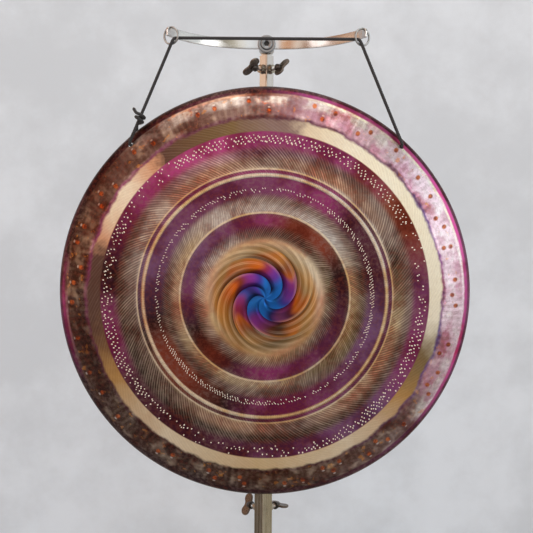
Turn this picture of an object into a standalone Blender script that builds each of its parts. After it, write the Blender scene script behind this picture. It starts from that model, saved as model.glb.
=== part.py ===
"""A 30 inch gong that hangs by a cord from the bowed bar of a folding floor stand.

Metres, +Z up. The origin is on the floor below the mast, and the gong faces -Y.
"""

import math

import bmesh
import bpy
from mathutils import Matrix, Vector

# Fits
GAP = 0.0003  # between faces that touch
SLIDE_PLAY = 0.0005  # on each side of a tube that slides in another
BOLT_PLAY = 0.0003  # round a bolt in its hole

# Mast tubes, square, turned 45 degrees so that an edge faces the front
MAST_SIDE = 0.025
MAST_WALL = 0.002
UPPER_SIDE = MAST_SIDE - 2 * MAST_WALL - 2 * SLIDE_PLAY
STEM_SIDE = UPPER_SIDE - 2 * MAST_WALL - 2 * SLIDE_PLAY
LOWER_BOTTOM = 0.012
LOWER_TOP_BELOW_GONG = 0.005
UPPER_LENGTH = 1.150
STEM_LENGTH = 0.160
PLUG_FLANGE = 0.003
PLUG_DEPTH = 0.014

# Bowed bar and what bolts it to the stem
BAR_CENTRE_Z = 1.420
BAR_HEIGHT = 0.018
BAR_THICKNESS = 0.004
BAR_FLAT = 0.018  # half the straight stretch in its middle
BAR_BOW_RADIUS = 0.1810
BAR_HALF_SPAN = 0.180
BAR_TOP_CORNER = 0.007
BAR_BOTTOM_CORNER = 0.0025
BAR_SEGMENTS = 12  # on each side of that stretch
HEAD_RADIUS = 0.015
HEAD_FRONT = 0.0215
HEAD_BACK = 0.014
HEAD_TO_TUBE = 0.0015
PIVOT_BOLT = 0.010
PIVOT_DISC = 0.034
PIVOT_DISC_DEPTH = 0.006
PIVOT_RECESS = 0.0025
PIVOT_HEAD = 0.022
PIVOT_HEAD_DEPTH = 0.0045
PIVOT_SOCKET = 0.009
PIVOT_SOCKET_DEPTH = 0.0035
BACK_WASHER = 0.020
BACK_WASHER_DEPTH = 0.002
PIVOT_NUT = 0.017
PIVOT_NUT_DEPTH = 0.008

# Rings that sit in notches near the bar's tips
RING_OUTER = 0.034
RING_WIRE = 0.004
RING_LEAN = math.radians(8)
NOTCH_FROM_TIP = 0.010
NOTCH_DEPTH = 0.0034
NOTCH_PLAY = 0.0009  # on each side of the wire, which rocks as the gong swings
RING_TO_NOTCH = 0.0006  # under the wire, for the same reason

# Gong, as radii of its outer face and depths in front of its back edge
GONG_DIAMETER = 0.762
GONG_SHEET = 0.0018
RIM_LIP = 0.005
RIM_TOE_IN = 0.0015
SHOULDER_RADIUS = 0.016
FLANGE_SLOPE = math.radians(35)
FLANGE_WIDTH = 0.0565
FACE_FILLET = 0.012
FACE_CROWN = 0.012
GROOVE = 0.0008
# Bands of its face, as shares of its radius
DOT_BAND = (0.7808, 0.7100)
THIN_RING = 0.5774
THIN_RING_HALF_WIDTH = 0.0092
MIDDLE_BAND = (0.4724, 0.4029)
WHORL_SHARE = 0.2129
WHORL_FOLDS = 6
WHORL_HEIGHT = 0.0045
WHORL_TWIST = 2.7
WHORL_RINGS = 7
GONG_STEPS = 54
CORD_HOLE = 0.009
CORD_HOLE_FROM_RIM = 0.0135
CORD_HOLE_ANGLE = math.radians(42)
GONG_DROP = 0.2105

# Cord
CORD = 0.006
CORD_SELF_GAP = 0.0007
KNOT_FROM_HOLE = 0.0460
KNOT_HALF_HEIGHT = 0.0055
STOPPER_FAR = -0.0168  # its first turn, behind the flange's face
STOPPER_NEAR = -0.0060

# Clamp screws and the welded nuts that they pass through
CLAMP_SCREW = 0.008
CLAMP_NUT = 0.016
CLAMP_NUT_DEPTH = 0.008
CLAMP_NUT_TO_HUB = 0.0105
HUB_BASE = 0.0155
HUB_TIP = 0.0110
HUB_DEPTH = 0.0110
WING_THICKNESS = 0.0044
WING_EAR = 0.0098
WING_EAR_OUT = 0.0120
WING_EAR_UP = 0.0130
WING_WAIST = 0.0188
UPPER_CLAMP_Z = 1.3765
LOWER_CLAMP_BELOW_TOP = 0.0331
CLAMP_TURNS = {
    "upper_left": math.radians(-8),
    "upper_right": math.radians(95),
    "lower_left": math.radians(-23),
    "lower_right": math.radians(-42),
}

# Folding legs
LEG_SIDE = 0.020
LEG_WALL = 0.0015
LEG_AXIS_Z = 0.030
LEG_REACH = 0.400
LEG_ROOT = 0.010
LEG_PIVOT_OUT = 0.0315
LEG_SIDE_PLAY = 0.0005
LEG_BOLT = 0.008
BRACKET_PLATE = 0.003
BRACKET_TOP = 0.014
BRACKET_BOTTOM = 0.016
BRACKET_STOP_FROM = 0.013
BRACKET_STOP_TO = 0.025
LEG_BOLT_HEAD = 0.013
LEG_BOLT_HEAD_DEPTH = 0.005
FOOT_RADIUS = 0.013
FOOT_FROM_TIP = 0.018
FOOT_STUD = 0.006
FOOT_STUD_HEAD = 0.009

UP = Vector((0, 0, 1))
SIDES = {"left": -1, "right": 1}

# Part colours: base colour, metallic, roughness
STEEL = ((0.42, 0.42, 0.44, 1), 1.0, 0.32)
DARK_STEEL = ((0.10, 0.10, 0.11, 1), 1.0, 0.40)
BRONZE = ((0.60, 0.36, 0.22, 1), 1.0, 0.28)
BLACK_CORD = ((0.012, 0.012, 0.014, 1), 0.0, 0.60)
RUBBER = ((0.02, 0.02, 0.02, 1), 0.0, 0.80)
PLASTIC = ((0.03, 0.03, 0.03, 1), 0.0, 0.50)


def clear_scene():
    for old in list(bpy.data.objects):
        bpy.data.objects.remove(old, do_unlink=True)


def new_collection(name):
    collection = bpy.data.collections.new(name)
    bpy.context.scene.collection.children.link(collection)
    return collection


clear_scene()
PARTS = new_collection("gong_on_stand")
CUTTERS = new_collection("cutters")


def material(name, look):
    colour, metallic, roughness = look
    made = bpy.data.materials.new(name)
    made.use_nodes = True
    shader = made.node_tree.nodes["Principled BSDF"]
    shader.inputs["Base Color"].default_value = colour
    shader.inputs["Metallic"].default_value = metallic
    shader.inputs["Roughness"].default_value = roughness
    return made


def mesh_object(name, mesh, collection=PARTS, look=None, smooth=True):
    if smooth:
        mesh.shade_smooth()
        mesh.set_sharp_from_angle(angle=math.radians(35))
    made = bpy.data.objects.new(name, mesh)
    collection.objects.link(made)
    if look:
        mesh.materials.clear()
        mesh.materials.append(material(name, look))
    return made


def bmesh_object(name, bm, **options):
    mesh = bpy.data.meshes.new(name)
    bm.to_mesh(mesh)
    bm.free()
    return mesh_object(name, mesh, **options)


def evaluated_mesh(made):
    """A mesh of the object as its modifiers leave it, in its own frame. The object goes."""
    bpy.context.view_layer.update()
    graph = bpy.context.evaluated_depsgraph_get()
    mesh = bpy.data.meshes.new_from_object(made.evaluated_get(graph))
    bpy.data.objects.remove(made, do_unlink=True)
    return mesh


def box_mesh(name, low, high, **options):
    """A box between two corners, in the object's own frame."""
    bm = bmesh.new()
    bmesh.ops.create_cube(bm, size=1)
    low, high = Vector(low), Vector(high)
    for vert in bm.verts:
        vert.co = (low + high) / 2 + vert.co * (high - low)
    return bmesh_object(name, bm, **options)


def cylinder(name, radius, start, end, top_radius=None, segments=24, **options):
    """A cylinder or cone between two points, with its mesh in the frame of those points."""
    start, end = Vector(start), Vector(end)
    bm = bmesh.new()
    bmesh.ops.create_cone(
        bm,
        cap_ends=True,
        segments=segments,
        radius1=radius,
        radius2=radius if top_radius is None else top_radius,
        depth=(end - start).length,
    )
    turn = UP.rotation_difference((end - start).normalized()).to_matrix().to_4x4()
    bm.transform(Matrix.Translation((start + end) / 2) @ turn)
    return bmesh_object(name, bm, **options)


def as_cutter(made):
    for collection in list(made.users_collection):
        collection.objects.unlink(made)
    CUTTERS.objects.link(made)
    made.hide_render = True
    made.display_type = "WIRE"
    return made


def boolean(made, other, operation="DIFFERENCE"):
    step = made.modifiers.new(other.name, "BOOLEAN")
    step.operation = operation
    step.object = as_cutter(other)
    return made


def empty(name, matrix, parent=None):
    made = bpy.data.objects.new(name, None)
    PARTS.objects.link(made)
    made.empty_display_size = 0.02
    made.parent = parent
    made.matrix_world = matrix
    bpy.context.view_layer.update()
    return made


def carry(parent, *children):
    """Parents objects whose places are set, and leaves them there."""
    bpy.context.view_layer.update()
    for child in children:
        child.parent = parent
        child.matrix_parent_inverse = parent.matrix_world.inverted()


def turned(name, profile, steps=24, look=None):
    """A solid turned about its own Z from (radius, height) points, listed from the top down."""
    bm = bmesh.new()
    points = [bm.verts.new((radius, 0, height)) for radius, height in profile]
    for first, second in zip(points, points[1:]):
        bm.edges.new((first, second))
    made = bmesh_object(name, bm, look=look, smooth=False)
    screw = made.modifiers.new("turn", "SCREW")
    screw.steps = screw.render_steps = steps
    screw.use_merge_vertices = True
    screw.merge_threshold = 0.0001
    return made


def turned_solid(name, profile, steps=24, look=None):
    made = turned(name, profile, steps)
    mesh = evaluated_mesh(made)
    return mesh_object(name, mesh, look=look)


# Directions and frames

DIAGONAL = math.radians(45)
MAST_TURN = Matrix.Rotation(DIAGONAL, 4, "Z")


# Heights that follow from the driving ones

UPPER_TOP = BAR_CENTRE_Z - HEAD_RADIUS - HEAD_TO_TUBE
UPPER_BOTTOM = UPPER_TOP - UPPER_LENGTH
BAR_MIDDLE_Y = -HEAD_FRONT - GAP - BAR_THICKNESS / 2


# Mast


def square_tube(name, side, wall, bottom, top, look):
    """An open square tube along the mast, with rounded edges outside and in."""
    half = side / 2
    tube = box_mesh(name, (-half, -half, bottom), (half, half, top))
    tube.matrix_world = MAST_TURN
    inner = half - wall
    bore = box_mesh(name + "_bore", (-inner, -inner, bottom - wall), (inner, inner, top + wall))
    bore.matrix_world = MAST_TURN
    for solid, width in ((tube, wall * 0.8), (bore, wall * 0.3)):
        round_long_edges(solid, width)
    tube.data.materials.append(material(name, look))
    return boolean(tube, bore)


def round_long_edges(made, width, axis=2):
    """Rounds the edges of a box that run along one of its axes."""
    bm = bmesh.new()
    bm.from_mesh(made.data)
    along = [
        edge
        for edge in bm.edges
        if abs((edge.verts[0].co - edge.verts[1].co).normalized()[axis]) > 0.99
    ]
    bmesh.ops.bevel(bm, geom=along, offset=width, segments=2, affect="EDGES", profile=0.5)
    bm.to_mesh(made.data)
    bm.free()


def clamp_direction(side, z):
    """The outward direction of a clamp's mast face: the upper pair is in front, the lower behind."""
    return Vector((SIDES[side], -1 if z == UPPER_CLAMP_Z else 1, 0)).normalized()


def clamp_hole(name, side, z, outer_side):
    out = clamp_direction(side, z)
    middle = Vector((0, 0, z))
    far = outer_side / 2 + CLAMP_NUT_DEPTH
    return cylinder(
        f"{name}_{side}_hole", CLAMP_SCREW / 2 + BOLT_PLAY, middle, middle + out * far, segments=20
    )


def clamp_nut(name, side, z, outer_side):
    """A round nut welded to a face of the mast."""
    out = clamp_direction(side, z)
    seat = Vector((0, 0, z)) + out * (outer_side / 2 + GAP)
    nut = cylinder(name, CLAMP_NUT / 2, seat, seat + out * CLAMP_NUT_DEPTH, look=STEEL)
    bore = cylinder(
        name + "_bore",
        CLAMP_SCREW / 2 + BOLT_PLAY,
        seat - out * CLAMP_NUT_DEPTH,
        seat + out * 2 * CLAMP_NUT_DEPTH,
        segments=20,
    )
    return boolean(nut, bore)


def tube_plug(name, side, wall, z, look=PLASTIC):
    """A plastic plug in the lower end of a mast tube."""
    half = side / 2
    inner = half - wall - GAP
    plug = box_mesh(name, (-half, -half, z - GAP - PLUG_FLANGE), (half, half, z - GAP))
    tongue = box_mesh(
        name + "_tongue", (-inner, -inner, z - GAP - PLUG_FLANGE / 2), (inner, inner, z + PLUG_DEPTH)
    )
    for solid in (plug, tongue):
        solid.matrix_world = MAST_TURN
        round_long_edges(solid, wall * 0.4)
    plug.data.materials.append(material(name, look))
    return boolean(plug, tongue, "UNION")


def lower_mast():
    tube = square_tube("lower_tube", MAST_SIDE, MAST_WALL, LOWER_BOTTOM, LOWER_TOP, STEEL)
    tube_plug("lower_tube_plug", MAST_SIDE, MAST_WALL, LOWER_BOTTOM)
    for side in SIDES:
        boolean(tube, clamp_hole("lower_tube", side, LOWER_CLAMP_Z, MAST_SIDE))
        clamp_nut(f"lower_clamp_nut_{side}", side, LOWER_CLAMP_Z, MAST_SIDE)


def upper_mast(carrier):
    tube = square_tube("upper_tube", UPPER_SIDE, MAST_WALL, UPPER_BOTTOM, UPPER_TOP, STEEL)
    pieces = [tube, tube_plug("upper_tube_glide", UPPER_SIDE, MAST_WALL, UPPER_BOTTOM)]
    for side in SIDES:
        boolean(tube, clamp_hole("upper_tube", side, UPPER_CLAMP_Z, UPPER_SIDE))
        pieces.append(clamp_nut(f"upper_clamp_nut_{side}", side, UPPER_CLAMP_Z, UPPER_SIDE))
    carry(carrier, *pieces)


# Clamp screws


def wing_outline():
    """Half of the wings' outline, from the hub's base out round the ear and back to the middle."""
    ear = Vector((WING_EAR_OUT, WING_EAR_UP))
    points = [Vector((HUB_BASE / 2 - 0.001, 0.001))]
    for step in range(9):
        angle = math.radians(-62 + step * 22.5)
        points.append(ear + WING_EAR * Vector((math.cos(angle), math.sin(angle))))
    points.append(Vector((HUB_TIP / 4, WING_WAIST)))
    return points


def flat_outline(name, points, thickness):
    """A flat plate in the XZ plane from outline points (x, z)."""
    curve = bpy.data.curves.new(name, "CURVE")
    curve.dimensions = "2D"
    curve.fill_mode = "BOTH"
    curve.extrude = thickness / 2
    spline = curve.splines.new("POLY")
    spline.points.add(len(points) - 1)
    for point, place in zip(spline.points, points):
        point.co = (place[0], place[1], 0, 1)
    spline.use_cyclic_u = True
    plate = bpy.data.objects.new(name, curve)
    CUTTERS.objects.link(plate)
    mesh = evaluated_mesh(plate)
    bm = bmesh.new()
    bm.from_mesh(mesh)
    bmesh.ops.remove_doubles(bm, verts=bm.verts, dist=0.00001)
    bmesh.ops.recalc_face_normals(bm, faces=bm.faces)
    bm.transform(Matrix.Rotation(math.radians(90), 4, "X"))
    bm.to_mesh(mesh)
    bm.free()
    return mesh_object(name, mesh, collection=CUTTERS)


def wing_screw_mesh(name, reach):
    """A wing screw along its own Z: its hub starts at 0, its wings rise, its tip is at -reach."""
    right = wing_outline()
    left = [Vector((-point.x, point.y)) for point in reversed(right)]
    wings = flat_outline(name + "_wings", right + left, WING_THICKNESS)
    hub = cylinder(
        name, HUB_BASE / 2, (0, 0, 0), (0, 0, HUB_DEPTH), top_radius=HUB_TIP / 2, segments=20
    )
    shank = cylinder(
        name + "_shank", CLAMP_SCREW / 2, (0, 0, -reach), (0, 0, HUB_DEPTH / 2), segments=16
    )
    boolean(hub, shank, "UNION")
    boolean(hub, wings, "UNION")
    return evaluated_mesh(hub)


def wing_screw(name, place, z, outer_side, inner_side, parent):
    """A wing screw through its nut, its tip just short of the tube inside, on its own axis."""
    out = clamp_direction(place.split("_")[1], z)
    hub_at = outer_side / 2 + GAP + CLAMP_NUT_DEPTH + CLAMP_NUT_TO_HUB
    reach = hub_at - inner_side / 2 - GAP
    frame = Matrix.Translation(Vector((0, 0, z)) + out * hub_at)
    frame = frame @ UP.rotation_difference(out).to_matrix().to_4x4()
    axis = empty(name + "_axis", frame, parent)
    screw = mesh_object(name, wing_screw_mesh(name, reach), look=DARK_STEEL)
    screw.matrix_world = frame @ Matrix.Rotation(CLAMP_TURNS[place], 4, "Z")
    carry(axis, screw)


# Stem, head and bowed bar


def stem_and_head(carrier):
    half = STEM_SIDE / 2
    head_at = Vector((0, 0, BAR_CENTRE_Z))
    stem_top = BAR_CENTRE_Z - HEAD_RADIUS * 0.7
    stem_bottom = UPPER_TOP - STEM_LENGTH
    stem = box_mesh("stem", (-half, -half, stem_bottom), (half, half, stem_top))
    stem.matrix_world = MAST_TURN
    round_long_edges(stem, MAST_WALL * 0.3)
    stem.data.materials.append(material("stem", STEEL))
    saddle = cylinder(
        "stem_saddle",
        HEAD_RADIUS + GAP,
        head_at - Vector((0, 0.05, 0)),
        head_at + Vector((0, 0.05, 0)),
        segments=40,
    )
    boolean(stem, saddle)
    head = cylinder(
        "head_boss",
        HEAD_RADIUS,
        head_at - Vector((0, HEAD_FRONT, 0)),
        head_at + Vector((0, HEAD_BACK, 0)),
        segments=40,
        look=STEEL,
    )
    boolean(head, pivot_hole("head_boss"))
    carry(carrier, stem, head)


def pivot_hole(name):
    at = Vector((0, 0, BAR_CENTRE_Z))
    reach = Vector((0, 0.06, 0))
    return cylinder(name + "_bolt_hole", PIVOT_BOLT / 2 + BOLT_PLAY, at - reach, at + reach)


def bar_angle(along):
    """How far the bar has turned from its middle, at this length along it."""
    return math.copysign(max(0, abs(along) - BAR_FLAT) / BAR_BOW_RADIUS, along)


def bar_point(along, across, z):
    """The place in the world of a point of the flat bar: along it, across its thickness, up."""
    angle = bar_angle(along)
    radius = BAR_BOW_RADIUS + across
    straight = min(max(along, -BAR_FLAT), BAR_FLAT)
    centre_y = BAR_MIDDLE_Y - BAR_BOW_RADIUS
    x = straight + radius * math.sin(angle)
    return Vector((x, centre_y + radius * math.cos(angle), BAR_CENTRE_Z + z))


BAR_HALF_TURN = math.asin((BAR_HALF_SPAN - BAR_FLAT) / BAR_BOW_RADIUS)
BAR_HALF_LENGTH = BAR_FLAT + BAR_BOW_RADIUS * BAR_HALF_TURN


def crossbar():
    """A flat strip on edge with rounded corners, bent to the bow, with a notch by each tip."""
    bm = bmesh.new()
    bmesh.ops.create_cube(bm, size=1)
    size = Vector((2 * BAR_HALF_LENGTH, BAR_THICKNESS, BAR_HEIGHT))
    for vert in bm.verts:
        vert.co = vert.co * size
    for sign, width in ((1, BAR_TOP_CORNER), (-1, BAR_BOTTOM_CORNER)):
        corners = [
            edge
            for edge in bm.edges
            if all(sign * v.co.z > 0.99 * BAR_HEIGHT / 2 for v in edge.verts)
            and abs(edge.verts[0].co.x - edge.verts[1].co.x) < 0.0001
        ]
        bmesh.ops.bevel(bm, geom=corners, offset=width, segments=4, affect="EDGES", profile=0.5)
    bow_length = BAR_HALF_LENGTH - BAR_FLAT
    for step in range(BAR_SEGMENTS):
        for sign in (-1, 1):
            x = sign * (BAR_FLAT + bow_length * step / BAR_SEGMENTS)
            everything = bm.verts[:] + bm.edges[:] + bm.faces[:]
            bmesh.ops.bisect_plane(bm, geom=everything, plane_co=(x, 0, 0), plane_no=(1, 0, 0))
    for vert in bm.verts:
        vert.co = bar_point(*vert.co)
    bar = bmesh_object("crossbar", bm, look=STEEL)
    boolean(bar, pivot_hole("crossbar"))
    for side in SIDES:
        boolean(bar, notch_cutter(side))
    return bar


def pivot(carrier):
    """The bolt that holds the bar to the head, with its disc, back washer and nut."""
    centre = Vector((0, 0, BAR_CENTRE_Z))
    front = -HEAD_FRONT - 2 * GAP - BAR_THICKNESS
    disc_front = front - GAP - PIVOT_DISC_DEPTH
    edge = 0.0012
    radius = PIVOT_DISC / 2
    recess = PIVOT_HEAD / 2 + 2 * GAP
    bore = PIVOT_BOLT / 2 + BOLT_PLAY
    disc = ring_of_profile(
        "pivot_disc",
        [
            (recess, PIVOT_DISC_DEPTH),
            (radius - edge, PIVOT_DISC_DEPTH),
            (radius, PIVOT_DISC_DEPTH - edge),
            (radius, 0),
            (bore, 0),
            (bore, PIVOT_DISC_DEPTH - PIVOT_RECESS),
            (recess, PIVOT_DISC_DEPTH - PIVOT_RECESS),
        ],
        STEEL,
    )
    face_forward(disc, centre + Vector((0, front - GAP, 0)))
    head_seat = disc_front + PIVOT_RECESS - GAP
    head_radius = PIVOT_HEAD / 2
    bolt = turned_solid(
        "pivot_bolt",
        [
            (0, PIVOT_HEAD_DEPTH),
            (head_radius - edge, PIVOT_HEAD_DEPTH),
            (head_radius, PIVOT_HEAD_DEPTH - edge),
            (head_radius, 0),
            (PIVOT_BOLT / 2, 0),
            (PIVOT_BOLT / 2, -bolt_length(head_seat)),
            (0, -bolt_length(head_seat)),
        ],
        look=DARK_STEEL,
    )
    face_forward(bolt, centre + Vector((0, head_seat, 0)))
    socket = cylinder(
        "pivot_socket",
        PIVOT_SOCKET / math.sqrt(3),
        centre + Vector((0, head_seat - PIVOT_HEAD_DEPTH + PIVOT_SOCKET_DEPTH, 0)),
        centre + Vector((0, head_seat - 2 * PIVOT_HEAD_DEPTH, 0)),
        segments=6,
        smooth=False,
    )
    boolean(bolt, socket)
    washer_at = HEAD_BACK + GAP
    washer = ring_of_profile(
        "pivot_washer",
        [
            (bore, BACK_WASHER_DEPTH),
            (BACK_WASHER / 2, BACK_WASHER_DEPTH),
            (BACK_WASHER / 2, 0),
            (bore, 0),
        ],
        STEEL,
    )
    face_forward(washer, centre + Vector((0, washer_at + BACK_WASHER_DEPTH, 0)))
    nut_at = washer_at + BACK_WASHER_DEPTH + GAP
    nut = hex_nut("pivot_nut", PIVOT_NUT, PIVOT_NUT_DEPTH, PIVOT_BOLT)
    face_forward(nut, centre + Vector((0, nut_at + PIVOT_NUT_DEPTH, 0)))
    carry(carrier, disc, bolt, washer, nut)


def bolt_length(head_seat):
    """From under the pivot bolt's head to a thread or two past its nut."""
    return HEAD_BACK + 2 * GAP + BACK_WASHER_DEPTH + PIVOT_NUT_DEPTH + 0.003 - head_seat


def ring_of_profile(name, profile, look):
    """A turned ring from a closed profile that keeps clear of the axis."""
    return turned_solid(name, [*profile, profile[0]], look=look)


def hex_nut(name, across, depth, bolt):
    nut = cylinder(
        name, across / math.sqrt(3), (0, 0, 0), (0, 0, depth), segments=6, look=STEEL, smooth=False
    )
    bore = cylinder(
        name + "_bore", bolt / 2 + BOLT_PLAY, (0, 0, -depth), (0, 0, 2 * depth), segments=20
    )
    return boolean(nut, bore)


def face_forward(made, at):
    """Turns a piece made along its own Z to face -Y, with what cuts it."""
    matrix = Matrix.Translation(at) @ Matrix.Rotation(math.radians(90), 4, "X")
    place_with_cutters(made, matrix)


def place_with_cutters(made, matrix):
    made.matrix_world = matrix
    for step in made.modifiers:
        if step.type == "BOOLEAN":
            step.object.matrix_world = matrix


# Rings

RING_INNER = RING_OUTER / 2 - RING_WIRE
RING_CENTRELINE = (RING_OUTER - RING_WIRE) / 2
NOTCH_ALONG = BAR_HALF_LENGTH - NOTCH_FROM_TIP
NOTCH_FLOOR = BAR_HEIGHT / 2 - NOTCH_DEPTH
SWING_AXIS_Z = BAR_CENTRE_Z + NOTCH_FLOOR
HANG_X = bar_point(NOTCH_ALONG, 0, 0).x
HANG_Y = bar_point(NOTCH_ALONG, 0, 0).y


def ring_frame(side):
    """The ring's centre, with X across the bar, Y along it and Z up the leaning ring."""
    sign = SIDES[side]
    angle = bar_angle(NOTCH_ALONG)
    across = Matrix.Rotation(-sign * angle, 4, "Z") @ Matrix.Rotation(DIAGONAL * 2, 4, "Z")
    contact = Vector((sign * HANG_X, HANG_Y, SWING_AXIS_Z + RING_TO_NOTCH))
    lean = Matrix.Rotation(sign * RING_LEAN, 4, "Y")
    return Matrix.Translation(contact) @ lean @ across @ Matrix.Translation((0, 0, -RING_INNER))


def torus_mesh(name, wire, **options):
    """A ring of round wire in its own XZ plane."""
    bm = bmesh.new()
    rings, sides = 26, 8
    bmesh.ops.create_circle(bm, segments=sides, radius=wire / 2)
    bmesh.ops.translate(bm, verts=bm.verts, vec=(RING_CENTRELINE, 0, 0))
    bmesh.ops.rotate(
        bm, verts=bm.verts, cent=(RING_CENTRELINE, 0, 0), matrix=Matrix.Rotation(math.pi / 2, 3, "X")
    )
    bmesh.ops.spin(
        bm,
        geom=bm.verts[:] + bm.edges[:],
        cent=(0, 0, 0),
        axis=(0, 0, 1),
        angle=math.tau,
        steps=rings,
        use_merge=True,
    )
    bmesh.ops.remove_doubles(bm, verts=bm.verts, dist=0.00001)
    bmesh.ops.recalc_face_normals(bm, faces=bm.faces)
    bm.transform(Matrix.Rotation(math.pi / 2, 4, "X"))
    return bmesh_object(name, bm, **options)


def notch_cutter(side):
    """A round-bottomed slot across the bar, wide enough for the wire as it rocks."""
    radius = RING_WIRE / 2 + NOTCH_PLAY
    floor = BAR_CENTRE_Z + NOTCH_FLOOR
    steps = 10
    bottom = [
        (-radius * math.cos(math.pi * k / steps), -radius * math.sin(math.pi * k / steps))
        for k in range(steps + 1)
    ]
    outline = [*bottom, (radius, BAR_HEIGHT), (-radius, BAR_HEIGHT)]
    slot = flat_outline(f"notch_{side}", outline, 5 * BAR_THICKNESS)
    turn = -SIDES[side] * bar_angle(NOTCH_ALONG)
    seat = Vector((SIDES[side] * HANG_X, HANG_Y, floor + radius))
    slot.matrix_world = Matrix.Translation(seat) @ Matrix.Rotation(turn, 4, "Z")
    return slot


# Gong

GONG_RADIUS = GONG_DIAMETER / 2
FLANGE_INNER = GONG_RADIUS - FLANGE_WIDTH
WHORL_RADIUS = WHORL_SHARE * GONG_RADIUS
CORD_HOLE_RADIUS = GONG_RADIUS - CORD_HOLE_FROM_RIM


def face_depth(radius):
    """The crowned face's depth in front of its edge fillet."""
    return FACE_CROWN * (1 - (radius / FLANGE_INNER) ** 2)


def shoulder_and_flange():
    """Outer points from the face's edge fillet out over the flange and shoulder to the back edge."""
    turn = math.pi / 2 - FLANGE_SLOPE
    shoulder_centre = Vector((GONG_RADIUS - SHOULDER_RADIUS, RIM_LIP))
    shoulder = [
        shoulder_centre + SHOULDER_RADIUS * Vector((math.cos(a), math.sin(a)))
        for a in (turn * step / 4 for step in range(4, -1, -1))
    ]
    start = shoulder[0]
    edge = Vector((FLANGE_INNER, start.y + (start.x - FLANGE_INNER) * math.tan(FLANGE_SLOPE)))
    setback = FACE_FILLET * math.tan(FLANGE_SLOPE / 2)
    down_flange = Vector((math.cos(FLANGE_SLOPE), -math.sin(FLANGE_SLOPE)))
    fillet = [
        edge - Vector((setback, 0)),
        edge - Vector((0, setback * math.sin(FLANGE_SLOPE) / 2)),
        edge + down_flange * setback,
    ]
    middle = (fillet[-1] + start) / 2
    return [*fillet, middle, *shoulder, Vector((GONG_RADIUS - RIM_TOE_IN, 0))]


def gong_profile():
    """Radius and depth of the outer face, from its middle out to its back edge."""
    outer = shoulder_and_flange()
    edge_depth = outer[0].y
    bands = [
        (MIDDLE_BAND[1], 0),
        (MIDDLE_BAND[0], -GROOVE),
        (THIN_RING - THIN_RING_HALF_WIDTH, 0),
        (THIN_RING, GROOVE),
        (THIN_RING + THIN_RING_HALF_WIDTH, 0),
        (DOT_BAND[1], -GROOVE),
        (DOT_BAND[0], 0),
    ]
    face = [(WHORL_RADIUS * step / WHORL_RINGS, 0) for step in range(WHORL_RINGS + 1)]
    face += [((WHORL_RADIUS + MIDDLE_BAND[1] * GONG_RADIUS) / 2, 0)]
    face += [(share * GONG_RADIUS, lift) for share, lift in bands]
    inner = [Vector((r, edge_depth + face_depth(r) + lift)) for r, lift in face]
    return inner + outer


def whorl(x, y):
    """The height that the middle's twisted folds add at a point of the face."""
    radius = math.hypot(x, y)
    share = radius / WHORL_RADIUS
    if share >= 1 or share < 0.01:
        return 0
    phase = math.atan2(y, x) * WHORL_FOLDS / math.tau + WHORL_TWIST * (1 - share)
    fold = phase % 1
    ridge = fold / 0.7 if fold < 0.7 else (1 - fold) / 0.3
    swell = math.sin(math.pi * share) ** 0.8
    return WHORL_HEIGHT * swell * (ridge - 0.4)


def centroid_depth(profile):
    """The depth of the sheet's centre of gravity, from the turned profile."""
    area = moment = 0
    for first, second in zip(profile, profile[1:]):
        slice_area = (second - first).length * (first.x + second.x) / 2
        area += slice_area
        moment += slice_area * (first.y + second.y) / 2
    return moment / area


def depth_at(profile, radius):
    """The outer face's depth at a radius, between the profile's points."""
    for first, second in zip(profile, profile[1:]):
        if first.x <= radius <= second.x:
            return first.y + (second.y - first.y) * (radius - first.x) / (second.x - first.x)
    return 0


PROFILE = gong_profile()
HOLE_DEPTH = depth_at(PROFILE, CORD_HOLE_RADIUS)
HOLE_UP = CORD_HOLE_RADIUS * math.cos(CORD_HOLE_ANGLE)
HOLE_OUT = CORD_HOLE_RADIUS * math.sin(CORD_HOLE_ANGLE)
# The sheet hangs with its centre of gravity straight below its two holes and the bar's notches.
HANG_TILT = math.atan2(centroid_depth(PROFILE) - GONG_SHEET / 2 - HOLE_DEPTH, HOLE_UP)


def gong_frame():
    """The gong's own frame: X right, Y up its face, Z out of its face, origin at its back edge."""
    turn = Matrix.Rotation(math.pi / 2 + HANG_TILT, 4, "X")
    hole = turn @ Vector((0, HOLE_UP, HOLE_DEPTH))
    hang = Vector((0, HANG_Y, SWING_AXIS_Z - GONG_DROP))
    return Matrix.Translation(hang - hole) @ turn


# The lower tube ends just below the gong, so that the clamp screws clear it.
LOWER_TOP = (gong_frame() @ Vector((0, -GONG_RADIUS, RIM_LIP))).z - LOWER_TOP_BELOW_GONG
LOWER_CLAMP_Z = LOWER_TOP - LOWER_CLAMP_BELOW_TOP


def hole_frame(side):
    """A cord hole in the world: its origin on the outer face, Z out of the flange."""
    out = Vector((SIDES[side] * math.sin(CORD_HOLE_ANGLE), math.cos(CORD_HOLE_ANGLE), 0))
    normal = out * math.sin(FLANGE_SLOPE) + UP * math.cos(FLANGE_SLOPE)
    at = Vector((SIDES[side] * HOLE_OUT, HOLE_UP, HOLE_DEPTH))
    turn = UP.rotation_difference(normal).to_matrix().to_4x4()
    return gong_frame() @ Matrix.Translation(at) @ turn


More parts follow.
